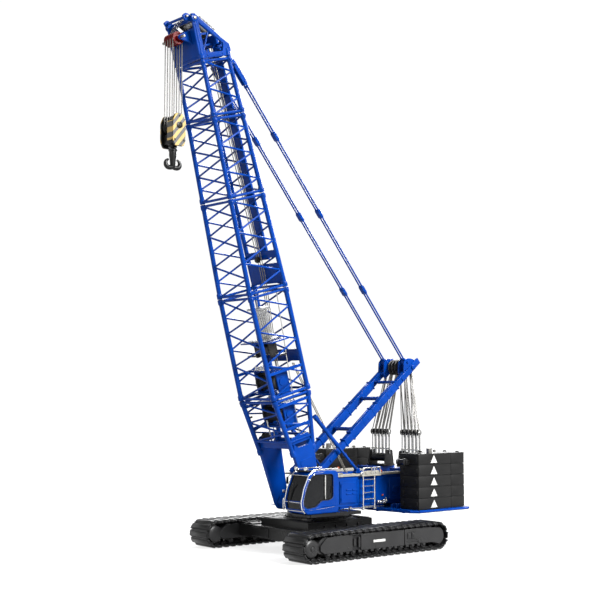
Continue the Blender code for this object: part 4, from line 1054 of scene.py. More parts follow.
class CRANE_OT_counterweight(bpy.types.Operator):
    """Counterweight: slabs with their seams, lugs and triangles, and the tray below"""

    bl_idname = "crane.counterweight"
    bl_label = "Counterweight"

    def execute(self, context):
        dress("counterweight_tray", "crane_blue")
        lugs, marks, rolls = Shape(), Shape(), Shape()
        for side, label in SIDES:
            ends, face = Shape(), side * SLAB_FACE
            names = [f"counterweight_slab_{label}_{level + 1}" for level in range(SLABS)]
            for name in names:
                z, high = (corner.z * 1000 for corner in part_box(name))
                for x0, x1 in ((-138, -116.8), (-116.5, -66)):
                    ends.box(x0, x1, side * 62, face, z + 0.02, high + 0.12, 0.35, 2)
                triangle = [(-94.6, z + 1.6), (-84.4, z + 1.6), (-89.5, z + 10.2)]
                marks.plate(triangle, face - side * 0.2, face + side * 0.22, chamfer=0)
                for y in (66, 87):
                    ends.box(-139.4, -137.6, side * y - 2.2, side * y + 2.2, z + 2.4, z + 8.6, 0.5)
                    ends.box(-66.4, -65.2, side * y - 2.0, side * y + 2.0, z + 3.0, z + 8.4, 0.4)
                ends.box(-138.6, -137.8, side * 76.5 - 4.6, side * 76.5 + 4.6, z + 1.5, z + 10.3, 0.3)
                ends.box(-112, -90, side * 61.4, side * 62.2, z + 1.8, z + 10, 0.3)
            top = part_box(names[-1])[1].z * 1000
            for x in (-132, -72):
                for y in (67, 86):
                    ends.turned(((2.0, top - 0.2), (2.0, top + 0.9), (1.2, top + 1.5)), (x, side * y, 0), "z", 18)
            cap = ((1.2, top - 0.2), (1.2, top + 2.2), (1.8, top + 2.4), (1.8, top + 3.0))
            ends.turned(cap, (-78, side * 81, 0), "z", 14)
            lugs.plate(soft_rect(-91.8, -86.6, top - 0.2, top + 5.6, 1.0),
                       side * 82, side * 86.4, chamfer=0.4)
            lugs.plate(soft_rect(-116.8, -113.6, top - 0.2, top + 2.6, 0.8),
                       side * 66, side * 68, chamfer=0.3)
            roll = ((2.0, 0), (4.2, 0.3), (4.2, 1.4), (3.2, 1.8), (3.2, 10.2), (4.2, 10.6), (4.2, 11.7), (2.0, 12))
            rolls.turned(roll if side > 0 else [(r, -y) for r, y in roll[::-1]], (-61.6, side * 64, 94.4), "y", 26)
            for y in (65.4, 76.6):
                rolls.box(-66.4, -60, side * (y - 0.7), side * (y + 0.7), 91.4, 96.6, 0.3)
            ends.piece(f"counterweight_stack_{label}", "superstructure", "charcoal_paint", "counterweight_grey",
                stands_for=names)
        lugs.piece("counterweight_lugs", "superstructure", "silver_metal", "rope_steel")
        marks.piece("counterweight_triangles", "superstructure", "silver_metal", "marking_white")
        rolls.piece("counterweight_rollers", "superstructure", "black_paint", "dark_steel")
        tray = Shape()
        rim = [(-145.4, 90.4), (-141.8, 93.2), (-64, 93.2), (-57.6, 86)]
        for (xa, ya), (xb, yb) in zip(rim, rim[1:]):
            tray.both(tray.tube, ((xa, ya, 41.6), (xb, yb, 41.6)), 1.25, 10)
        tray.tube(((-145.4, -90.4, 41.6), (-145.4, 90.4, 41.6)), 1.25, 10)
        for y in (-70, -35, 0, 35, 70):
            tray.box(-140, -62 if abs(y) > 40 else -56, y - 1.2, y + 1.2, 38.6, 40.4, 0.3)
        for y in (48, 56):
            tray.both(tray.box, -136, -66, y - 0.9, y + 0.9, 42.8, 47, 0.3)
        tray.piece("counterweight_tray_rim", "superstructure", "blue_paint", "crane_blue")
        return {"FINISHED"}


BACKSTOP_Y = 30


class CRANE_OT_backstops(bpy.types.Operator):
    """Backstops: two telescoping struts that stand behind the boom"""

    bl_idname = "crane.backstops"
    bl_label = "Backstops"

    def execute(self, context):
        for side, label in SIDES:
            s, out = Shape(), side * BACKSTOP_Y
            foot, head = Vector((-31, out, 85)), Vector((29.4, side * 28.3, 145))
            s.tube((foot, foot.lerp(head, 0.5)), 1.5, 16)
            s.tube([foot.lerp(head, k) for k in (0.44, 0.45, 0.5, 0.505, 0.93, 0.935, 1.0)],
                (1.9, 2.5, 2.5, 2.3, 2.3, 2.7, 2.7), 18)
            for share in (0.12, 0.28):
                s.tube((foot.lerp(head, share), foot.lerp(head, share + 0.012)), 1.9, 16)
            s.box(-35, -27, out - 3, out + 3, 81.3, 83.4, 0.4)
            for y in (out - 2.6, out + 1.4):
                ear = soft_outline([(-34.4, 82.6), (-27.6, 82.6), (-29, 87.2), (-33, 87.2)], 1.2)
                s.plate(ear, y, y + 1.2, chamfer=0.25)
            s.turned(pin(1.0, 1.2, 3.2, 3.4), (-31, out, 85.2), "y", 14)
            s.piece(f"backstop_{label}", "superstructure", "blue_paint", "crane_blue",
                stands_for=[f"boom_backstop_{label}"])
        return {"FINISHED"}


STAND_X, STAND_Y, STAND_ROW_Z, STAND_PITCH = -120.0, 25, 124.0, 6.0


class CRANE_OT_stands(bpy.types.Operator):
    """Mast-hoist stands: a row of small sheaves on posts over a rope drum, one stand on each side"""

    bl_idname = "crane.stands"
    bl_label = "Mast-hoist stands"

    def execute(self, context):
        radius = context.scene.crane_sizes.rope_radius
        for side, label in SIDES:
            y = side * STAND_Y
            s = Shape()
            for k in range(5):
                at = y + (k - 2) * STAND_PITCH
                s.paint = 1
                wheel = ((1.0, -2.1), (3.6, -2.0), (3.6, -1.3), (2.6, -0.5), (2.6, 0.5), (3.6, 1.3),
                    (3.6, 2.0), (1.0, 2.1))
                s.turned([(r, at + across) for r, across in wheel], (STAND_X, 0, STAND_ROW_Z), "y", 24)
                s.paint = 0
                for dx in (-2.0, 2.0):
                    s.tube(((STAND_X + dx, at, 98), (STAND_X + dx, at, STAND_ROW_Z - 1)), 0.72, 10)
                s.tube(((STAND_X, at + 3, 98), (STAND_X, at + 3, STAND_ROW_Z)), 0.6, 10)
                link = [(-1.6, 118), (1.6, 118), (1.9, 126), (0, 128.4), (-1.9, 126)]
                s.plate(soft_outline([(STAND_X + x, z) for x, z in link], 1), at + 1.8, at + 2.5, chamfer=0.2)
            rod = ((1.1, y - 15.4), (1.4, y - 15.2), (1.4, y + 15.2), (1.1, y + 15.4))
            s.turned(rod, (STAND_X, 0, STAND_ROW_Z), "y", 18)
            s.box(STAND_X - 2.6, STAND_X + 2.6, y - 14, y + 14, 103.6, 105.2, 0.3)
            s.piece(f"stand_posts_{label}", "superstructure", "silver_metal", "bright_steel", "dark_steel",
                    stands_for=[f"reeving_stand_{label}"])
            base = Shape()
            base.box(STAND_X - 9, STAND_X + 9, y - 15, y + 15, 84.2, 86.6, 0.5)
            for dy in (-14.4, 13.0):
                plate = [(STAND_X - 8, 86), (STAND_X + 8, 86), (STAND_X + 5.4, 103), (STAND_X - 5.4, 103)]
                base.plate(soft_outline(plate, 2), y + dy, y + dy + 1.4, chamfer=0.35)
            drum = ((2, -12.8), (5.6, -12.8), (5.6, -11.6), (4.2, -11.4), (4.2, 11.4), (5.6, 11.6),
                (5.6, 12.8), (2, 12.8))
            base.turned([(r, y + across) for r, across in drum], (STAND_X, 0, 94), "y", 32)
            for dx in (-7, 7):
                for dy in (-10, 0, 10):
                    base.bolt((STAND_X + dx, y + dy, 86.5), "z", 0.7)
            base.piece(f"stand_base_{label}", "superstructure", "black_paint", "dark_steel")
            wound, per, turns = Shape(), 14, 19
            coil = [(a / per * 2 * math.pi, y - 10.9 + 21.8 * a / (per * turns)) for a in range(per * turns + 1)]
            wound.tube([(STAND_X + 4.4 * math.sin(a), at, 94 + 4.4 * math.cos(a)) for a, at in coil], radius * 1.1, 7)
            wound.piece(f"stand_winding_{label}", "superstructure", "black_paint", "dark_steel")
        return {"FINISHED"}


MAST_LEG, MAST_AXLE, MAST_GUIDE = 20.6, 184, (-4.0, 0, 189)


class CRANE_OT_mast(bpy.types.Operator):
    """Mast: two stepped legs, their cross tubes, head plates, sheaves and pins"""

    bl_idname = "crane.mast"
    bl_label = "Mast"

    def execute(self, context):
        s = Shape(MAST)
        stages = (
            (-4, 50, 3.5, 3.1), (50, 62, 4.1, 3.7), (62, 102, 5.0, 3.6),
            (102, 114, 4.5, 3.8), (114, 150, 4.6, 3.5), (150, 197, 3.8, 3.1),
        )
        for low, high, deep, wide in stages:
            s.both(s.box, -deep, deep, MAST_LEG - wide, MAST_LEG + wide, low - 0.4, high, 0.6, 2)
        for z, deep, wide in ((49, 5.4, 3.9), (61.5, 5.8, 3.9), (102, 5.8, 3.9), (113, 5.4, 3.9), (150, 5.2, 3.8)):
            s.both(s.box, -deep, deep, MAST_LEG - wide - 0.05, MAST_LEG + wide + 0.05, z - 0.9, z + 0.9, 0.3)
            for x in (-deep + 1.4, deep - 1.4):
                s.both(s.bolt, (x, MAST_LEG + wide + 0.1, z), radius=0.5, proud=0.4)
        for z, r in ((72, 2.2), (126, 2.2), (156, 1.8)):
            bead = r * 1.15
            bar = ((r, -MAST_LEG), (r, -12), (bead, -11.6), (bead, -10.6), (r, -10.2),
                   (r, 10.2), (bead, 10.6), (bead, 11.6), (r, 12), (r, MAST_LEG))
            s.turned(bar, (0, 0, z), "y", 22)
        s.both(s.turned, ((1.4, 13.6), (2.8, 14), (3.6, 17), (3.6, 24.4), (3.0, 25)), (0, 0, 0), "y", 24)
        s.turned(((1.9, -MAST_LEG), (1.9, MAST_LEG)), (0, 0, 0), "y", 18)
        for y in (11.4, 20.0):
            ear = [(-4, 166), (4, 170), (12.6, 178), (13.0, 184), (9, 189), (4, 193), (-4, 194.6)]
            s.both(s.plate, soft_outline(ear, 2.2), y, y + 1.8, chamfer=0.35)
        s.both(s.box, -3, 3, 12, MAST_LEG, 168.6, 172.4, 0.4)
        s.both(s.turned, ((1.1, 10.6), (1.5, 10.8), (1.5, 22.6), (1.1, 22.8)), (9, 0, 182), "y", 18)
        s.both(s.bolt, (9, 22.6, 182), radius=1.3, proud=0.9)
        s.both(s.turned, ((1.6, 23.4), (2.9, 23.8), (2.9, 25.2), (2.0, 25.6)), (0, 0, MAST_AXLE), "y", 22)
        for z in (20, 32, 84, 92, 132, 140, 162):
            s.both(s.box, -2.0, 2.0, MAST_LEG + 3.0, MAST_LEG + 3.9, z - 1.6, z + 1.6, 0.3)
        s.both(s.tube, ((5.6, MAST_LEG, 76), (5.6, MAST_LEG, 100)), 0.5, 8)
        s.piece("mast_frame", "mast", "blue_paint", "crane_blue", stands_for=["mast"])
        s = Shape(MAST)
        s.turned(pin(1.0, 2.1, 22.4, 22.6), (0, 0, MAST_AXLE), "y", 20)
        s.both(s.turned, ((1.2, 25.0), (1.6, 25.2), (1.6, 26.0), (1.0, 26.3)), (0, 0, 0), "y", 16)
        s.piece("mast_axles", "mast", "silver_metal", "bright_steel")
        s = Shape(MAST)
        for y in (-7.5, -2.5, 2.5, 7.5):
            s.sheave(0, y, MAST_AXLE, 9, 3.4)
        s.turned(pin(2.3, 3.9, 10.2, 10.4), (0, 0, MAST_AXLE), "y", 22)
        s.piece("mast_head_sheaves", "mast_sheave_pack", "black_paint", "dark_steel", stands_for=["mast_sheaves"])
        s = Shape(MAST)
        for y in (13.9, 16.4):
            wheel = ((1.6, y - 1.2), (3.4, y - 1.1), (2.6, y - 0.3), (2.6, y + 0.3), (3.4, y + 1.1), (1.6, y + 1.2))
            s.both(s.turned, wheel, MAST_GUIDE, "y", 22)
        s.turned(pin(1.0, 1.6, 18.4, 18.6), MAST_GUIDE, "y", 16)
        s.piece("mast_rope_guides", "mast", "black_paint", "dark_steel")
        return {"FINISHED"}


class CRANE_OT_mast_ropes(bpy.types.Operator):
    """Mast-hoist ropes: straight parts from the stands up to the mast head"""

    bl_idname = "crane.mast_ropes"
    bl_label = "Mast-hoist ropes"

    def execute(self, context):
        radius = context.scene.crane_sizes.rope_radius
        back = UPPER.inverted() @ MAST
        for side, label in SIDES:
            s = Shape()
            for k in range(5):
                y = side * STAND_Y + (k - 2) * STAND_PITCH
                for dx in (-2.9, 0, 2.9):
                    x = (-3.0 if k % 2 else 1.5) + dx * 1.6
                    top = back @ Vector((x, side * 9.6 + (k - 2) * 4.6 + dx * 0.4, 187 + dx))
                    s.tube(((STAND_X + dx, y + (1.2 if dx == 0 else 0), STAND_ROW_Z), top), radius * 1.1, 10)
            made = s.piece(f"mast_hoist_ropes_{label}", None, "silver_metal", "rope_steel")
            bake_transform(made)
        return {"FINISHED"}


class CRANE_OT_pendants(bpy.types.Operator):
    """Pendants: paired rods, forged link ends, joint blocks and pins"""

    bl_idname = "crane.pendants"
    bl_label = "Pendants"

    def execute(self, context):
        for side, label in SIDES:
            place, reach = pendant_frame(label)
            s = Shape(place)
            stops = [0.0, 0.25 * reach, 0.5 * reach, 0.74 * reach, reach - 42]
            for low, high in zip(stops, stops[1:]):
                for y in (-1.9, 1.9):
                    s.tube(((0, y, low + 2), (0, y, high - 2)), 0.92, 14)
                    for z in (low + 4.4, high - 4.4):
                        s.tube([(0, y, z + d) for d in (-1.6, -1.2, 1.2, 1.6)], (0.95, 1.3, 1.3, 0.95), 14)
            for z in stops[1:-1]:
                link = [(-1.9, z - 4.6), (0, z - 5.6), (1.9, z - 4.6), (1.9, z + 4.6), (0, z + 5.6), (-1.9, z + 4.6)]
                s.plate(soft_outline(link, 1.2), -3.0, 3.0, chamfer=0.35)
                for dz in (-3, 3):
                    s.turned(pin(0.6, 0.9, 3.6, 3.8), (0, 0, z + dz), "y", 12)
            fork = [(-2.4, 44), (2.4, 44), (2.6, 30), (2.0, 14), (-2.0, 14), (-2.6, 30)]
            for y in (-2.9, 1.1):
                s.plate(soft_outline([(x, reach - z) for x, z in fork], 1.4), y, y + 1.8, chamfer=0.35)
            s.plate(soft_rect(-1.7, 1.7, reach - 24, reach - 1, 0.8), -1.3, 1.3, chamfer=0.3)
            for z in (reach - 40, reach - 19):
                s.turned(pin(0.8, 1.3, 3.8, 4.0), (0, 0, z), "y", 16)
            for z in (0, reach):
                ring = ((1.85, -2.7), (3.0, -2.7), (3.4, -2.3), (3.4, 2.3), (3.0, 2.7), (1.85, 2.7))
                s.turned(ring, (0, 0, z), "y", 26)
            s.piece(f"pendant_bar_{label}", f"pendant_{label}", "blue_paint", "crane_blue",
                stands_for=[f"pendant_{label}"])
        return {"FINISHED"}


class CRANE_OT_boom(bpy.types.Operator):
    """Boom: foot, four lattice sections, plates and the walkway plank"""

    bl_idname = "crane.boom"
    bl_label = "Boom"

    def cradle(self, s, z):
        half = between(HALF_WIDTHS, z)
        cheek = soft_rect(-9, 7, z - 14, z + 14, 3)
        s.both(s.plate, cheek, 17, 19, chamfer=0.35)
        for end in (-14, 11.6):
            s.box(-8, 6, -half, half, z + end, z + end + 2.4, 0.4)
        for end in (-12.8, 12.8):
            deep = between(HALF_DEPTHS, z + end)
            s.both(s.box, -deep, deep, half - 1.2, half + 1.2, z + end - 1.6, z + end + 1.6, 0.35)
        for x in (-6.4, 4.4):
            for dz in (-11.4, 11.4):
                s.both(s.bolt, (x, 19, z + dz), radius=0.7, proud=0.6)
        s.both(s.turned, ((2.4, 18.8), (4.6, 19), (4.6, 19.8), (2.4, 20)), (0, 0, z), "y", 26)

    def foot(self, sizes):
        s = Shape(BOOM)
        y = HALF_WIDTHS[0][1]
        outline = [(-9, 0), (-6.4, -6.4), (0, -9), (6.4, -6.4), (9, 0), (14.4, 60), (12, 72), (7.5, 66), (-7.5, 66),
                   (-12, 72), (-14.4, 60)]
        s.both(s.plate, soft_outline(outline, 2.2), y - 2.5, y + 2.5, chamfer=0.5)
        inset = [(-5.4, 10), (5.4, 10), (9.2, 52), (-9.2, 52)]
        s.both(s.plate, soft_outline(inset, 3), y + 2.3, y + 3.0, chamfer=0.3)
        boss = ((2.7, y + 2.2), (6.2, y + 2.4), (6.2, y + 3.6), (4.6, y + 3.9), (2.7, y + 3.9))
        s.both(s.turned, boss, (0, 0, 0), "y", 30)
        for z in (16, 30, 44):
            s.both(s.bolt, (0, y + 3.0, z), radius=0.6, proud=0.5)
        s.turned(((2.55, -y), (2.55, y)), (0, 0, 0), "y", 24)
        chord_run(s, 58, 121.4, sizes.chord_radius)
        for z in (74, 119.8):
            ring_of_bars(s, z, 1.5)
        lattice(s, 74, 118, 2, sizes.brace_radius)
        self.cradle(s, DRUM_HEIGHTS[0])
        s.box(-14.4, -12.6, -26.6, 26.6, 58, 70, 0.4)
        s.box(11.6, 13.4, -26.6, 26.6, 66, 74, 0.4)
        s.both(s.plate, soft_outline([(-16, 70), (16, 70), (12, 78), (-12, 78)], 2), 26.4, 28.0, chamfer=0.3)
        s.piece("boom_foot_frame", "boom", "blue_paint", "crane_blue", stands_for=["boom_foot"])

    def execute(self, context):
        sizes = context.scene.crane_sizes
        self.foot(sizes)
        for i, bays in enumerate(BAYS):
            s = Shape(BOOM)
            low, high = JOINT_HEIGHTS[i], JOINT_HEIGHTS[i + 1] - 0.3
            chord_run(s, low, high, sizes.chord_radius - 0.1 * i)
            ring_of_bars(s, low + 2, 1.4)
            ring_of_bars(s, high - 2, 1.4)
            lattice(s, low + 2, high - 2, bays, sizes.brace_radius)
            for z in (low + 3.2, high - 3.2):
                for f, side in CORNERS:
                    p = corner(f, side, z)
                    s.turned(pin(1.0, 1.5, 3.4, 3.6), tuple(p), "y", 12)
            if i == 0:
                self.cradle(s, DRUM_HEIGHTS[1])
                deep, half = between(HALF_DEPTHS, 160), between(HALF_WIDTHS, 160)
                s.box(-deep, -deep + 1.6, -half, half, 154, 167, 0.4)
                s.box(-14, 10, -half, half, 180.6, 182, 0.3)
            if i == 1:
                for z0, z1 in ((240, 262), (268, 276)):
                    deep, half = between(HALF_DEPTHS, z0), between(HALF_WIDTHS, z0)
                    s.box(-deep + 1.0, -deep + 2.4, -half, half, z0, z1, 0.4)
            s.piece(f"boom_lattice_{i + 1}", "boom", "blue_paint", "crane_blue", stands_for=[f"boom_section_{i + 1}"])
        self.walkway()
        return {"FINISHED"}

    def walkway(self):
        s = Shape(BOOM)
        low, high = 266.0, 484.0

        def rear(z):
            return -between(HALF_DEPTHS, z) - 1.8

        plank = [(rear(low), low), (rear(high), high), (rear(high) - 1.4, high), (rear(low) - 1.4, low)]
        s.plate(plank, -7, 7, chamfer=0.3)
        for k in range(12):
            z = low + 8 + k * 18.4
            s.box(rear(z) - 2.2, rear(z) - 1.1, -6.6, 6.6, z - 0.5, z + 0.5, 0.15)
        s.both(s.plate, [(x - 0.9 if i > 1 else x, z) for i, (x, z) in enumerate(plank)], 6.3, 7.2, chamfer=0.2)
        s.piece("boom_walkway_plank", "boom", "blue_paint", "crane_blue", stands_for=["boom_walkway"])


class CRANE_OT_boom_head(bpy.types.Operator):
    """Boom head: cheek plates, cross tubes, rope guide, sheave pack and pendant anchors"""

    bl_idname = "crane.boom_head"
    bl_label = "Boom head"

    def execute(self, context):
        sizes = context.scene.crane_sizes
        y = between(HALF_WIDTHS, 484)
        s = Shape(BOOM)
        cheek = [(20, 484.4), (20.4, 508), (19.6, 531), (15, 531), (-13, 503.6), (-21.4, 496.6), (-21.8, 489.6),
                 (-17.4, 484.4)]
        s.both(s.plate, soft_outline(cheek, 1.6), y - 1.3, y + 1.3, chamfer=0.45)
        window = soft_outline([(-10.4, 489.8), (13.0, 489.8), (13.0, 523.4), (-13.0, 498.4), (-13.0, 496)], 1.0)
        s.cut(Shape(BOOM).plate(window, -40, 40, chamfer=0))
        for f, side in CORNERS:
            s.tube((corner(f, side, 484), corner(f, side, 492)), sizes.chord_radius, 18)
            s.tube([corner(f, side, z) for z in (484.1, 484.5, 488, 489)], (2.7, 3.3, 3.3, 2.7), 18)
        points = [corner(f, side, 486) for f, side in CORNERS]
        for p in points[2:]:
            p.x += 4.5
        for i in range(4):
            s.tube((points[i], points[(i + 1) % 4]), 1.5, 14)
        s.box(15, 18.4, -y, y, 487, 517, 0.5)
        s.turned(((2.4, -y), (2.4, y)), HEAD_TUBE, "y", 22)
        s.both(s.turned, ((2.6, y + 1.2), (3.8, y + 1.4), (3.8, y + 2.2), (3.0, y + 2.5)), HEAD_TUBE, "y", 24)
        s.box(-9, -6, -y, y, 498, 508, 0.5)
        s.turned(((1.7, -y), (1.7, y)), (-13, 0, 499), "y", 18)
        arm = soft_outline([(15, 500), (28, 506.4), (33.6, 508), (33.6, 512), (28, 513.6), (15, 516.5)], 1.8)
        s.both(s.plate, arm, 11.4, 13.8, chamfer=0.4)
        rear_arm = soft_outline([(-16, 485), (-22.2, 489.6), (-22.2, 496.4), (-14, 504), (-7, 504), (-7, 485)], 2)
        s.both(s.plate, rear_arm, 11.2, 13.0, chamfer=0.35)
        s.both(s.tube, ((16.6, y, 486), (16.6, y, 530)), (2.4, 2.0), 18)
        s.both(s.tube, ((17, y - 0.4, 526.6), (-14.6, y - 0.4, 498.4)), 1.7, 14)
        s.both(s.tube, ((17, 12.6, 497), (-8, 12.6, 500)), 1.2, 12)
        s.both(s.turned, ((1.6, 10.4), (2.6, 10.6), (2.6, 11.6), (1.6, 11.8)), PENDANT_EYE, "y", 18)
        nose = soft_outline([(17, 523), (25, 526), (27, 531), (22, 533.4), (16, 530)], 1.6)
        s.both(s.plate, nose, 16.0, 18.2, chamfer=0.35)
        s.turned(((1.4, -18.6), (1.4, 18.6)), (22.6, 0, 529.4), "y", 16)
        s.both(s.box, -4, 14, y - 3.4, y - 1.2, 508.6, 510.8, 0.3)
        for x, z in ((17.6, 488), (18, 520), (-18.4, 493), (-10, 486.8), (10, 487.4)):
            s.both(s.bolt, (x, y + 1.3, z), radius=0.8, proud=0.7)
        s.both(s.tube, ((13, y - 0.6, 491.6), (2.4, y - 0.6, 511)), 0.9, 10)
        s.tube(((-9, -y, 492), (-9, y, 507)), 1.1, 10)
        s.tube(((-9, y, 492), (-9, -y, 507)), 1.1, 10)
        s.piece("boom_head_frame", "boom", "blue_paint", "crane_blue", stands_for=["boom_head"])
        s = Shape(BOOM)
        s.both(s.turned, ((0.9, 10.8), (1.5, 11), (1.5, 22.2), (0.9, 22.4)), PENDANT_EYE, "y", 18)
        s.both(s.turned, ((1.1, 14.0), (1.5, 14.2), (1.5, 19.4), (1.1, 19.8)), HEAD_AXLE, "y", 16)
        s.both(s.turned, ((1.0, y + 2.4), (1.8, y + 2.6), (1.8, y + 3.4), (1.0, y + 3.8)), HEAD_TUBE, "y", 16)
        s.both(s.turned, ((0.8, 16), (1.2, 16.2), (1.2, 20), (0.8, 20.4)), (22.6, 0, 529.4), "y", 14)
        s.piece("boom_head_pins", "boom", "silver_metal", "rope_steel")
        s = Shape(BOOM)
        for row in SHEAVE_ROWS:
            s.sheave(HEAD_AXLE[0], row, HEAD_AXLE[2], 6.6, 3.6, 36)
        s.turned(pin(1.6, 2.8, 10.6, 10.8), HEAD_AXLE, "y", 22)
        s.turned(pin(1.0, 1.5, 15.2, 15.4), HEAD_AXLE, "y", 18)
        s.piece("head_sheave_set", "head_sheave_pack", "red_paint", "sheave_red", stands_for=["head_sheaves"])
        s = Shape(BOOM)
        for x, z in ((-4, 520.6), (7, 529)):
            for row in (-5.6, 0, 5.6):
                s.sheave(x, row, z, 3.7, 3.2, 24)
            s.turned(pin(1.2, 1.6, 8.6, 8.8), (x, 0, z), "y", 16)
        cheek = [(-12, 512), (-9.6, 523), (-4, 526), (4, 533.6), (9, 534), (12.4, 530), (11, 524), (-4, 508.6)]
        s.both(s.plate, soft_outline(cheek, 1.6), 8.2, 9.5, chamfer=0.3)
        s.box(-9, -6.4, -9, 9, 508.2, 512, 0.3)
        guide = ((7.0, 527.2), (6.6, 526.8), (5.8, 526.0), (-7.4, 513.2), (-8.2, 512.4), (-8.6, 512.0))
        s.both(s.tube, [(x, 17.6, z) for x, z in guide], (1.4, 2.1, 1.9, 1.9, 2.1, 1.4), 16)
        s.piece("head_rope_rollers", "boom", "black_paint", "dark_steel", stands_for=["head_rope_guide"])
        return {"FINISHED"}


class CRANE_OT_winches(bpy.types.Operator):
    """Winches in the lower boom: drums with wound rope, the reeving above them and the ropes up to the head"""

    bl_idname = "crane.winches"
    bl_label = "Winches"

    def drum(self, number, z, radius):
        s = Shape(BOOM)
        s.turned(((2.0, -16), (9.2, -16), (10, -15.4), (10, -14.4), (9.4, -14), (6.8, -13.8), (6.8, 13.8), (9.4, 14),
                  (10, 14.4), (10, 15.4), (9.2, 16), (2.0, 16)), (0, 0, z), "y", 44)
        s.turned(pin(1.2, 1.9, 19.2, 19.4), (0, 0, z), "y", 20)
        for k in range(8):
            turn = 2 * math.pi * k / 8
            for face, proud in ((16.0, 0.5), (-16.0, -0.5)):
                s.bolt((7.6 * math.cos(turn), face, z + 7.6 * math.sin(turn)), radius=0.6, proud=proud)
        s.piece(f"winch_spool_{number}", f"winch_drum_{number}", "black_paint", "dark_steel",
            stands_for=[f"winch_drum_{number}"])
        rope, per, wound, width = Shape(BOOM), 18, 7.25, 26.4
        turns = round(width / (2 * radius))
        coil = [(2 * math.pi * a / per, width * a / (per * turns) - width / 2) for a in range(per * turns + 1)]
        rope.tube([(wound * math.sin(a), y, z + wound * math.cos(a)) for a, y in coil], radius, 7)
        rope.piece(f"winch_rope_{number}", f"winch_drum_{number}", "black_paint", "rubber_black_and_painted_shade")

    def execute(self, context):
        radius = context.scene.crane_sizes.rope_radius
        for number, z in enumerate(DRUM_HEIGHTS, 1):
            self.drum(number, z, 0.55)
        s = Shape(BOOM)
        for y in (-9, -5.4, -1.8, 1.8, 5.4, 9):
            s.tube(((-4.6, y, 182), (-3.4, y, 214)), 1.25, 12)
            s.tube([(-3.4, y, z) for z in (211, 212, 216, 217)], (1.3, 2.0, 2.0, 1.3), 12)
        s.box(-14, 8, -15, 15, 182.2, 184, 0.4)
        s.box(-9, 3, -13, 13, 216, 218.4, 0.4)
        for y in (-13, 13):
            s.tube(((-3.4, y, 183), (-3.4, y, 217)), 0.8, 10)
        s.piece("boom_reeving", "boom", "silver_metal", "bright_steel")
        s = Shape(BOOM)
        s.turned(((2, -11), (5.8, -11), (6.4, -10.4), (6.4, 10.4), (5.8, 11), (2, 11)), (-2, 0, 172.6), "y", 32)
        s.both(s.plate, soft_rect(-7, 4, 164, 181, 2), 11.6, 13, chamfer=0.3)
        s.both(s.box, -7, 4, 13, 27.6, 165.2, 167.0, 0.3)
        s.sheave(-16, 0, 268, 3.4, 2.4, 24)
        s.piece("boom_guide_sheaves", "boom", "black_paint", "dark_steel")
        s = Shape(BOOM)
        for y, x, z in ((-3.4, -9.4, 96), (0.2, -9.6, 132), (3.8, -9.2, 140)):
            low, high = 5 - between(HALF_DEPTHS, 250), 4.6 - between(HALF_DEPTHS, 480)
            line = [(x, y, z), (low, y, 250), (high, y, 480), (-9.4, y * 1.4, 519), (-2, y * 1.4, 524.6)]
            s.rope(rounded(line, 10, 6), radius)
        for y in (-5.6, 0, 5.6):
            s.rope(rounded([(-4, y, 524.3), (7, y, 532.7), (20, y * 0.9, 527), (31, y * 0.8, 516.5)], 4, 4), radius)
        s.piece("hoist_ropes", "boom", "silver_metal", "rope_steel")
        s = Shape(BOOM)
        pipe = rounded([(-4, 22, 70), (-6, 22, 84), (-8, 21, 118), (-10, 21, 150), (-18, 18, 232)], 4)
        s.both(s.tube, pipe, 0.55, 8)
        for y in (-14, 12):
            s.tube(((6, y, 64), (8, y + 2, 96)), 0.9, 10)
        for k in range(6):
            s.tube(((9, -11 + 4.4 * k, 152.6), (9, -11 + 4.4 * k, 156.4)), 0.8, 10)
        s.box(8.4, 9.8, -14, 14, 151.4, 152.8, 0.3)
        s.box(-9.6, -8, -20, 20, 88.4, 90, 0.3)
        s.piece("boom_pipework", "boom", "silver_metal", "bright_steel")
        s = Shape()
        top = UPPER.inverted() @ BOOM @ Vector((-22, 14, 152))
        for dy in (0, 2.6):
            s.tube((top + Vector((0, dy, 0)), Vector((-23, 20 + dy, 82))), 0.62, 10)
        made = s.piece("hoist_lead_ropes", None, "beige_paint", "deck_beige")
        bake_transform(made)
        s = Shape(BOOM)
        s.turned(((1.4, -27.4), (4.4, -27.2), (4.4, -26.4), (3.4, -25.5), (3.4, -24.5), (4.4, -23.6), (4.4, -22.8),
                  (1.4, -22.6)), (5.0, 0, 76.0), "y", 24)
        s.box(13.4, 20.2, -30.4, -29.0, 100, 102, 0.3)
        s.turned(((0.6, -31), (1.8, -30.8), (1.8, -28.6), (0.6, -28.4)), (20.2, 0, 101), "y", 14)
        s.piece("boom_foot_rollers", "boom", "black_paint", "dark_steel")
        return {"FINISHED"}


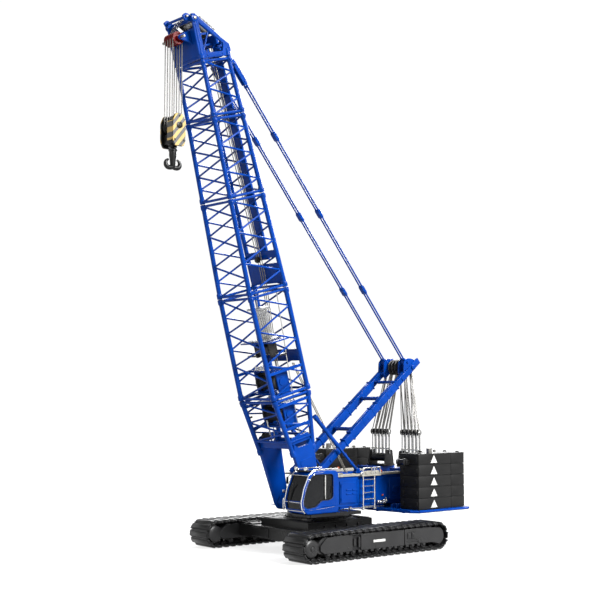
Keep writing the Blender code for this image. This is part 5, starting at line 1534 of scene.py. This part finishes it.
class CRANE_OT_hook(bpy.types.Operator):
    """Hook tackle: rope falls, striped block with its sheaves, and the ram's-horn hook"""

    bl_idname = "crane.hook"
    bl_label = "Hook"

    def execute(self, context):
        radius = context.scene.crane_sizes.rope_radius
        axle = JOINTS["hook_hang"]["pos_m"][2] * 1000
        s = Shape(HUNG)
        for x in (-5.7, 5.7):
            for row in SHEAVE_ROWS:
                s.rope(((x, row, axle - 1.0), (x, row, 442)), radius * 1.15)
        s.piece("rope_falls", "hook_tackle", "silver_metal", "rope_steel", stands_for=["hoist_rope_falls"])
        s = Shape(HUNG)
        half = [(-5.4, 420.4), (-8, 427), (-8, 446), (-4.6, 454)]
        outline = soft_outline([*half, *[(-x, z) for x, z in half[::-1]]], 2.2)
        s.both(s.plate, outline, 10.6, 12.0, chamfer=0.35)
        for front in (1, -1):
            s.plate(soft_rect(1.6, 10.9, 426.4, 446.6, 1.6), front * 7.5, front * 8.3, axis="x", chamfer=0.2)
        s.piece("hook_block_cheeks", "hook_tackle", "red_paint", "hazard_stripes")
        s = Shape(HUNG)
        s.both(s.plate, outline, 9.4, 10.6, chamfer=0.3)
        for row in SHEAVE_ROWS:
            s.sheave(0, row, 442, 7.1, 3.4, 34)
        hub = ((1.2, 11.8), (3.4, 12), (3.4, 12.7), (2.2, 13.1), (1.4, 13.1), (1.2, 13.4))
        s.both(s.turned, hub, (0, 0, 442), "y", 24)
        s.box(-5.4, 5.4, -10, 10, 423.6, 434, 0.8, 2)
        s.box(-3.4, 3.4, -9.8, 9.8, 450.4, 452.6, 0.4)
        s.turned(((2.2, 419.9), (4.4, 420.2), (4.4, 422.6), (5.2, 423.0), (5.2, 424.4)), (0, 0, 0), "z", 26)
        for x, z in ((-5.4, 426.5), (5.4, 426.5), (0, 451.4)):
            s.both(s.bolt, (x, 12.0, z), radius=0.75, proud=0.6)
        s.turned(pin(0.8, 1.9, 11.4, 11.6), (0, 0, 428), "y", 18)
        s.piece("hook_block_body", "hook_tackle", "black_paint", "hazard_black", stands_for=["hook_block"])
        s = Shape(HUNG)
        horn = [(-1.4, 0, 401.2), (0.8, 0, 400.0), (2.8, 0, 399.7)]
        steps = range(1, 19)
        for k in steps:
            angle = math.radians(-90 + k * 9)
            horn.append((4.5 + 4.1 * math.cos(angle), 0, 403.7 + 4.1 * math.sin(angle)))
        widths = [2.0, 2.4, 2.6] + [2.6 - 0.085 * k * (k / 18) for k in steps]
        s.tube(horn, widths, 20)
        s.tube([(-x, y, z) for x, y, z in horn], widths, 20)
        for sign in (1, -1):
            tip = horn[-1]
            ball = ((0.2, -1.15), (0.8, -0.95), (1.2, 0), (0.8, 0.95), (0.2, 1.15))
            s.turned(ball, (sign * tip[0], 0, tip[2]), "y", 16)
        shank = ((1.4, 398.6), (2.6, 400), (2.9, 404), (3.3, 409), (3.9, 411.6), (3.9, 416.4),
                 (4.6, 416.8), (4.6, 418.6), (3.6, 419.2), (2.2, 419.6))
        s.turned(shank, (0, 0, 0), "z", 30)
        s.piece("ramshorn_hook", "hook", "black_paint", "undercarriage_black", stands_for=["hook"])
        return {"FINISHED"}


FLOOR_RADIUS, FLOOR_DROP = 40, -0.0006
# Each lamp's place, width in metres, power as a share of the key's, the height it looks at and its spread
LAMPS = (
    ("key", (-0.35, 1.7, 1.2), 1.0, 1.0, 0.0, 90),
    ("front", (1.7, 0.2, 1.0), 1.0, 0.24, 0.2, 180),
    ("top", (-0.2, 0.0, 2.0), 1.3, 0.88, 0.0, 180),
    ("rear", (-1.3, -1.1, 1.2), 1.2, 1.6, 0.2, 180),
)


class CRANE_OT_stage(bpy.types.Operator):
    """White floor, pale room, soft lamps and the camera"""

    bl_idname = "crane.stage"
    bl_label = "Stage"

    def execute(self, context):
        scene, studio = context.scene, context.scene.crane_studio
        floor = Finish("studio_white", 0.9, Specular_IOR_Level=0.0, Emission_Strength=1.0)
        shade = floor.noise(2, 2)
        floor.feed(Base_Color=floor.mix(shade, (0.19, 0.19, 0.19, 1), (0.21, 0.21, 0.21, 1)))
        away = floor.node("ShaderNodeVectorMath", {"operation": "LENGTH"}, "Value", in_0=floor.place())
        glow = (studio.floor_glow,) * 3
        floor.feed(Emission_Color=floor.mix(floor.ramp(away, 0.25, 1.6), (*glow, 1), (1.03, 1.03, 1.03, 1)))
        rim = [2 * math.pi * k / 64 for k in range(64)]
        disc = Shape(Matrix.Identity(4))
        disc.add([(FLOOR_RADIUS * math.cos(a), FLOOR_RADIUS * math.sin(a), 0) for a in rim], [tuple(range(64))])
        ground = bpy.data.objects.new("studio_floor", disc.mesh("studio_floor", [floor.material]))
        scene.collection.objects.link(ground)
        ground.location.z = FLOOR_DROP
        for name, place, size, share, aim, spread in LAMPS:
            lamp = bpy.data.lights.new(name, "AREA")
            lamp.shape, lamp.size, lamp.energy = "DISK", size, studio.key_power * share
            lamp.spread = math.radians(spread)
            made = bpy.data.objects.new(name, lamp)
            made.location = place
            made.rotation_euler = (Vector((0, 0, aim)) - Vector(place)).to_track_quat("-Z", "Y").to_euler()
            scene.collection.objects.link(made)
        world = bpy.data.worlds.new("white_room")
        world.use_nodes = True
        room, back = world.node_tree, world.node_tree.nodes["Background"]
        spot = room.nodes.new("ShaderNodeTexCoord")
        split = room.nodes.new("ShaderNodeSeparateXYZ")
        fade = room.nodes.new("ShaderNodeMapRange")
        fade.interpolation_type = "SMOOTHSTEP"
        for socket, value in (("From Min", 0.36), ("From Max", 0.62), ("To Min", 1.03), ("To Max", 0.12)):
            fade.inputs[socket].default_value = value
        room.links.new(spot.outputs["Generated"], split.inputs[0])
        room.links.new(split.outputs["Z"], fade.inputs["Value"])
        room.links.new(fade.outputs[0], back.inputs["Color"])
        back.inputs["Strength"].default_value = studio.surround
        scene.world = world
        scene.view_settings.view_transform = "Standard"
        camera = bpy.data.objects.new("camera", bpy.data.cameras.new("camera"))
        scene.collection.objects.link(camera)
        heading, pitch = math.radians(studio.heading), math.radians(studio.pitch)
        look = Vector((math.cos(pitch) * math.cos(heading), math.cos(pitch) * math.sin(heading), math.sin(pitch)))
        camera.rotation_euler = look.to_track_quat("-Z", "Y").to_euler()
        camera.location = studio.camera_place
        camera.data.lens, camera.data.sensor_width = studio.lens, 36
        camera.data.clip_start, camera.data.clip_end = 0.05, 30
        scene.camera = camera
        return {"FINISHED"}


class CRANE_PT_panel(bpy.types.Panel):
    """Lists the crane's pieces"""

    bl_idname = "CRANE_PT_panel"
    bl_label = "Crawler crane"
    bl_space_type = "VIEW_3D"
    bl_region_type = "UI"
    bl_category = "Crane"

    def draw(self, context):
        for group in ("crane_paints", "crane_sizes", "crane_studio"):
            settings = getattr(context.scene, group)
            for name in settings.__annotations__:
                self.layout.prop(settings, name)
        for operator in PIECES:
            self.layout.operator(operator.bl_idname)


PIECES = (
    CRANE_OT_stage, CRANE_OT_tracks, CRANE_OT_carbody, CRANE_OT_superstructure, CRANE_OT_cab, CRANE_OT_ladder,
    CRANE_OT_counterweight, CRANE_OT_backstops, CRANE_OT_stands, CRANE_OT_mast, CRANE_OT_mast_ropes,
    CRANE_OT_pendants, CRANE_OT_boom, CRANE_OT_boom_head, CRANE_OT_winches, CRANE_OT_hook,
)
GROUPS = (("crane_paints", PaintColours), ("crane_sizes", CraneSizes), ("crane_studio", StudioSettings))


def register():
    for cls in (PaintColours, CraneSizes, StudioSettings, *PIECES, CRANE_PT_panel):
        bpy.utils.register_class(cls)
    for name, group in GROUPS:
        setattr(bpy.types.Scene, name, bpy.props.PointerProperty(type=group))


def unregister():
    for name, _ in GROUPS:
        delattr(bpy.types.Scene, name)
    for cls in (CRANE_PT_panel, *PIECES[::-1], StudioSettings, CraneSizes, PaintColours):
        bpy.utils.unregister_class(cls)


def main():
    for old in [o for o in bpy.data.objects if o.name in ("Cube", "Light", "Camera")]:
        bpy.data.objects.remove(old)
    register()
    make_finishes(bpy.context.scene.crane_paints)
    for operator in PIECES:
        group, name = operator.bl_idname.split(".")
        getattr(getattr(bpy.ops, group), name)()


if __name__ == "__main__":
    main()
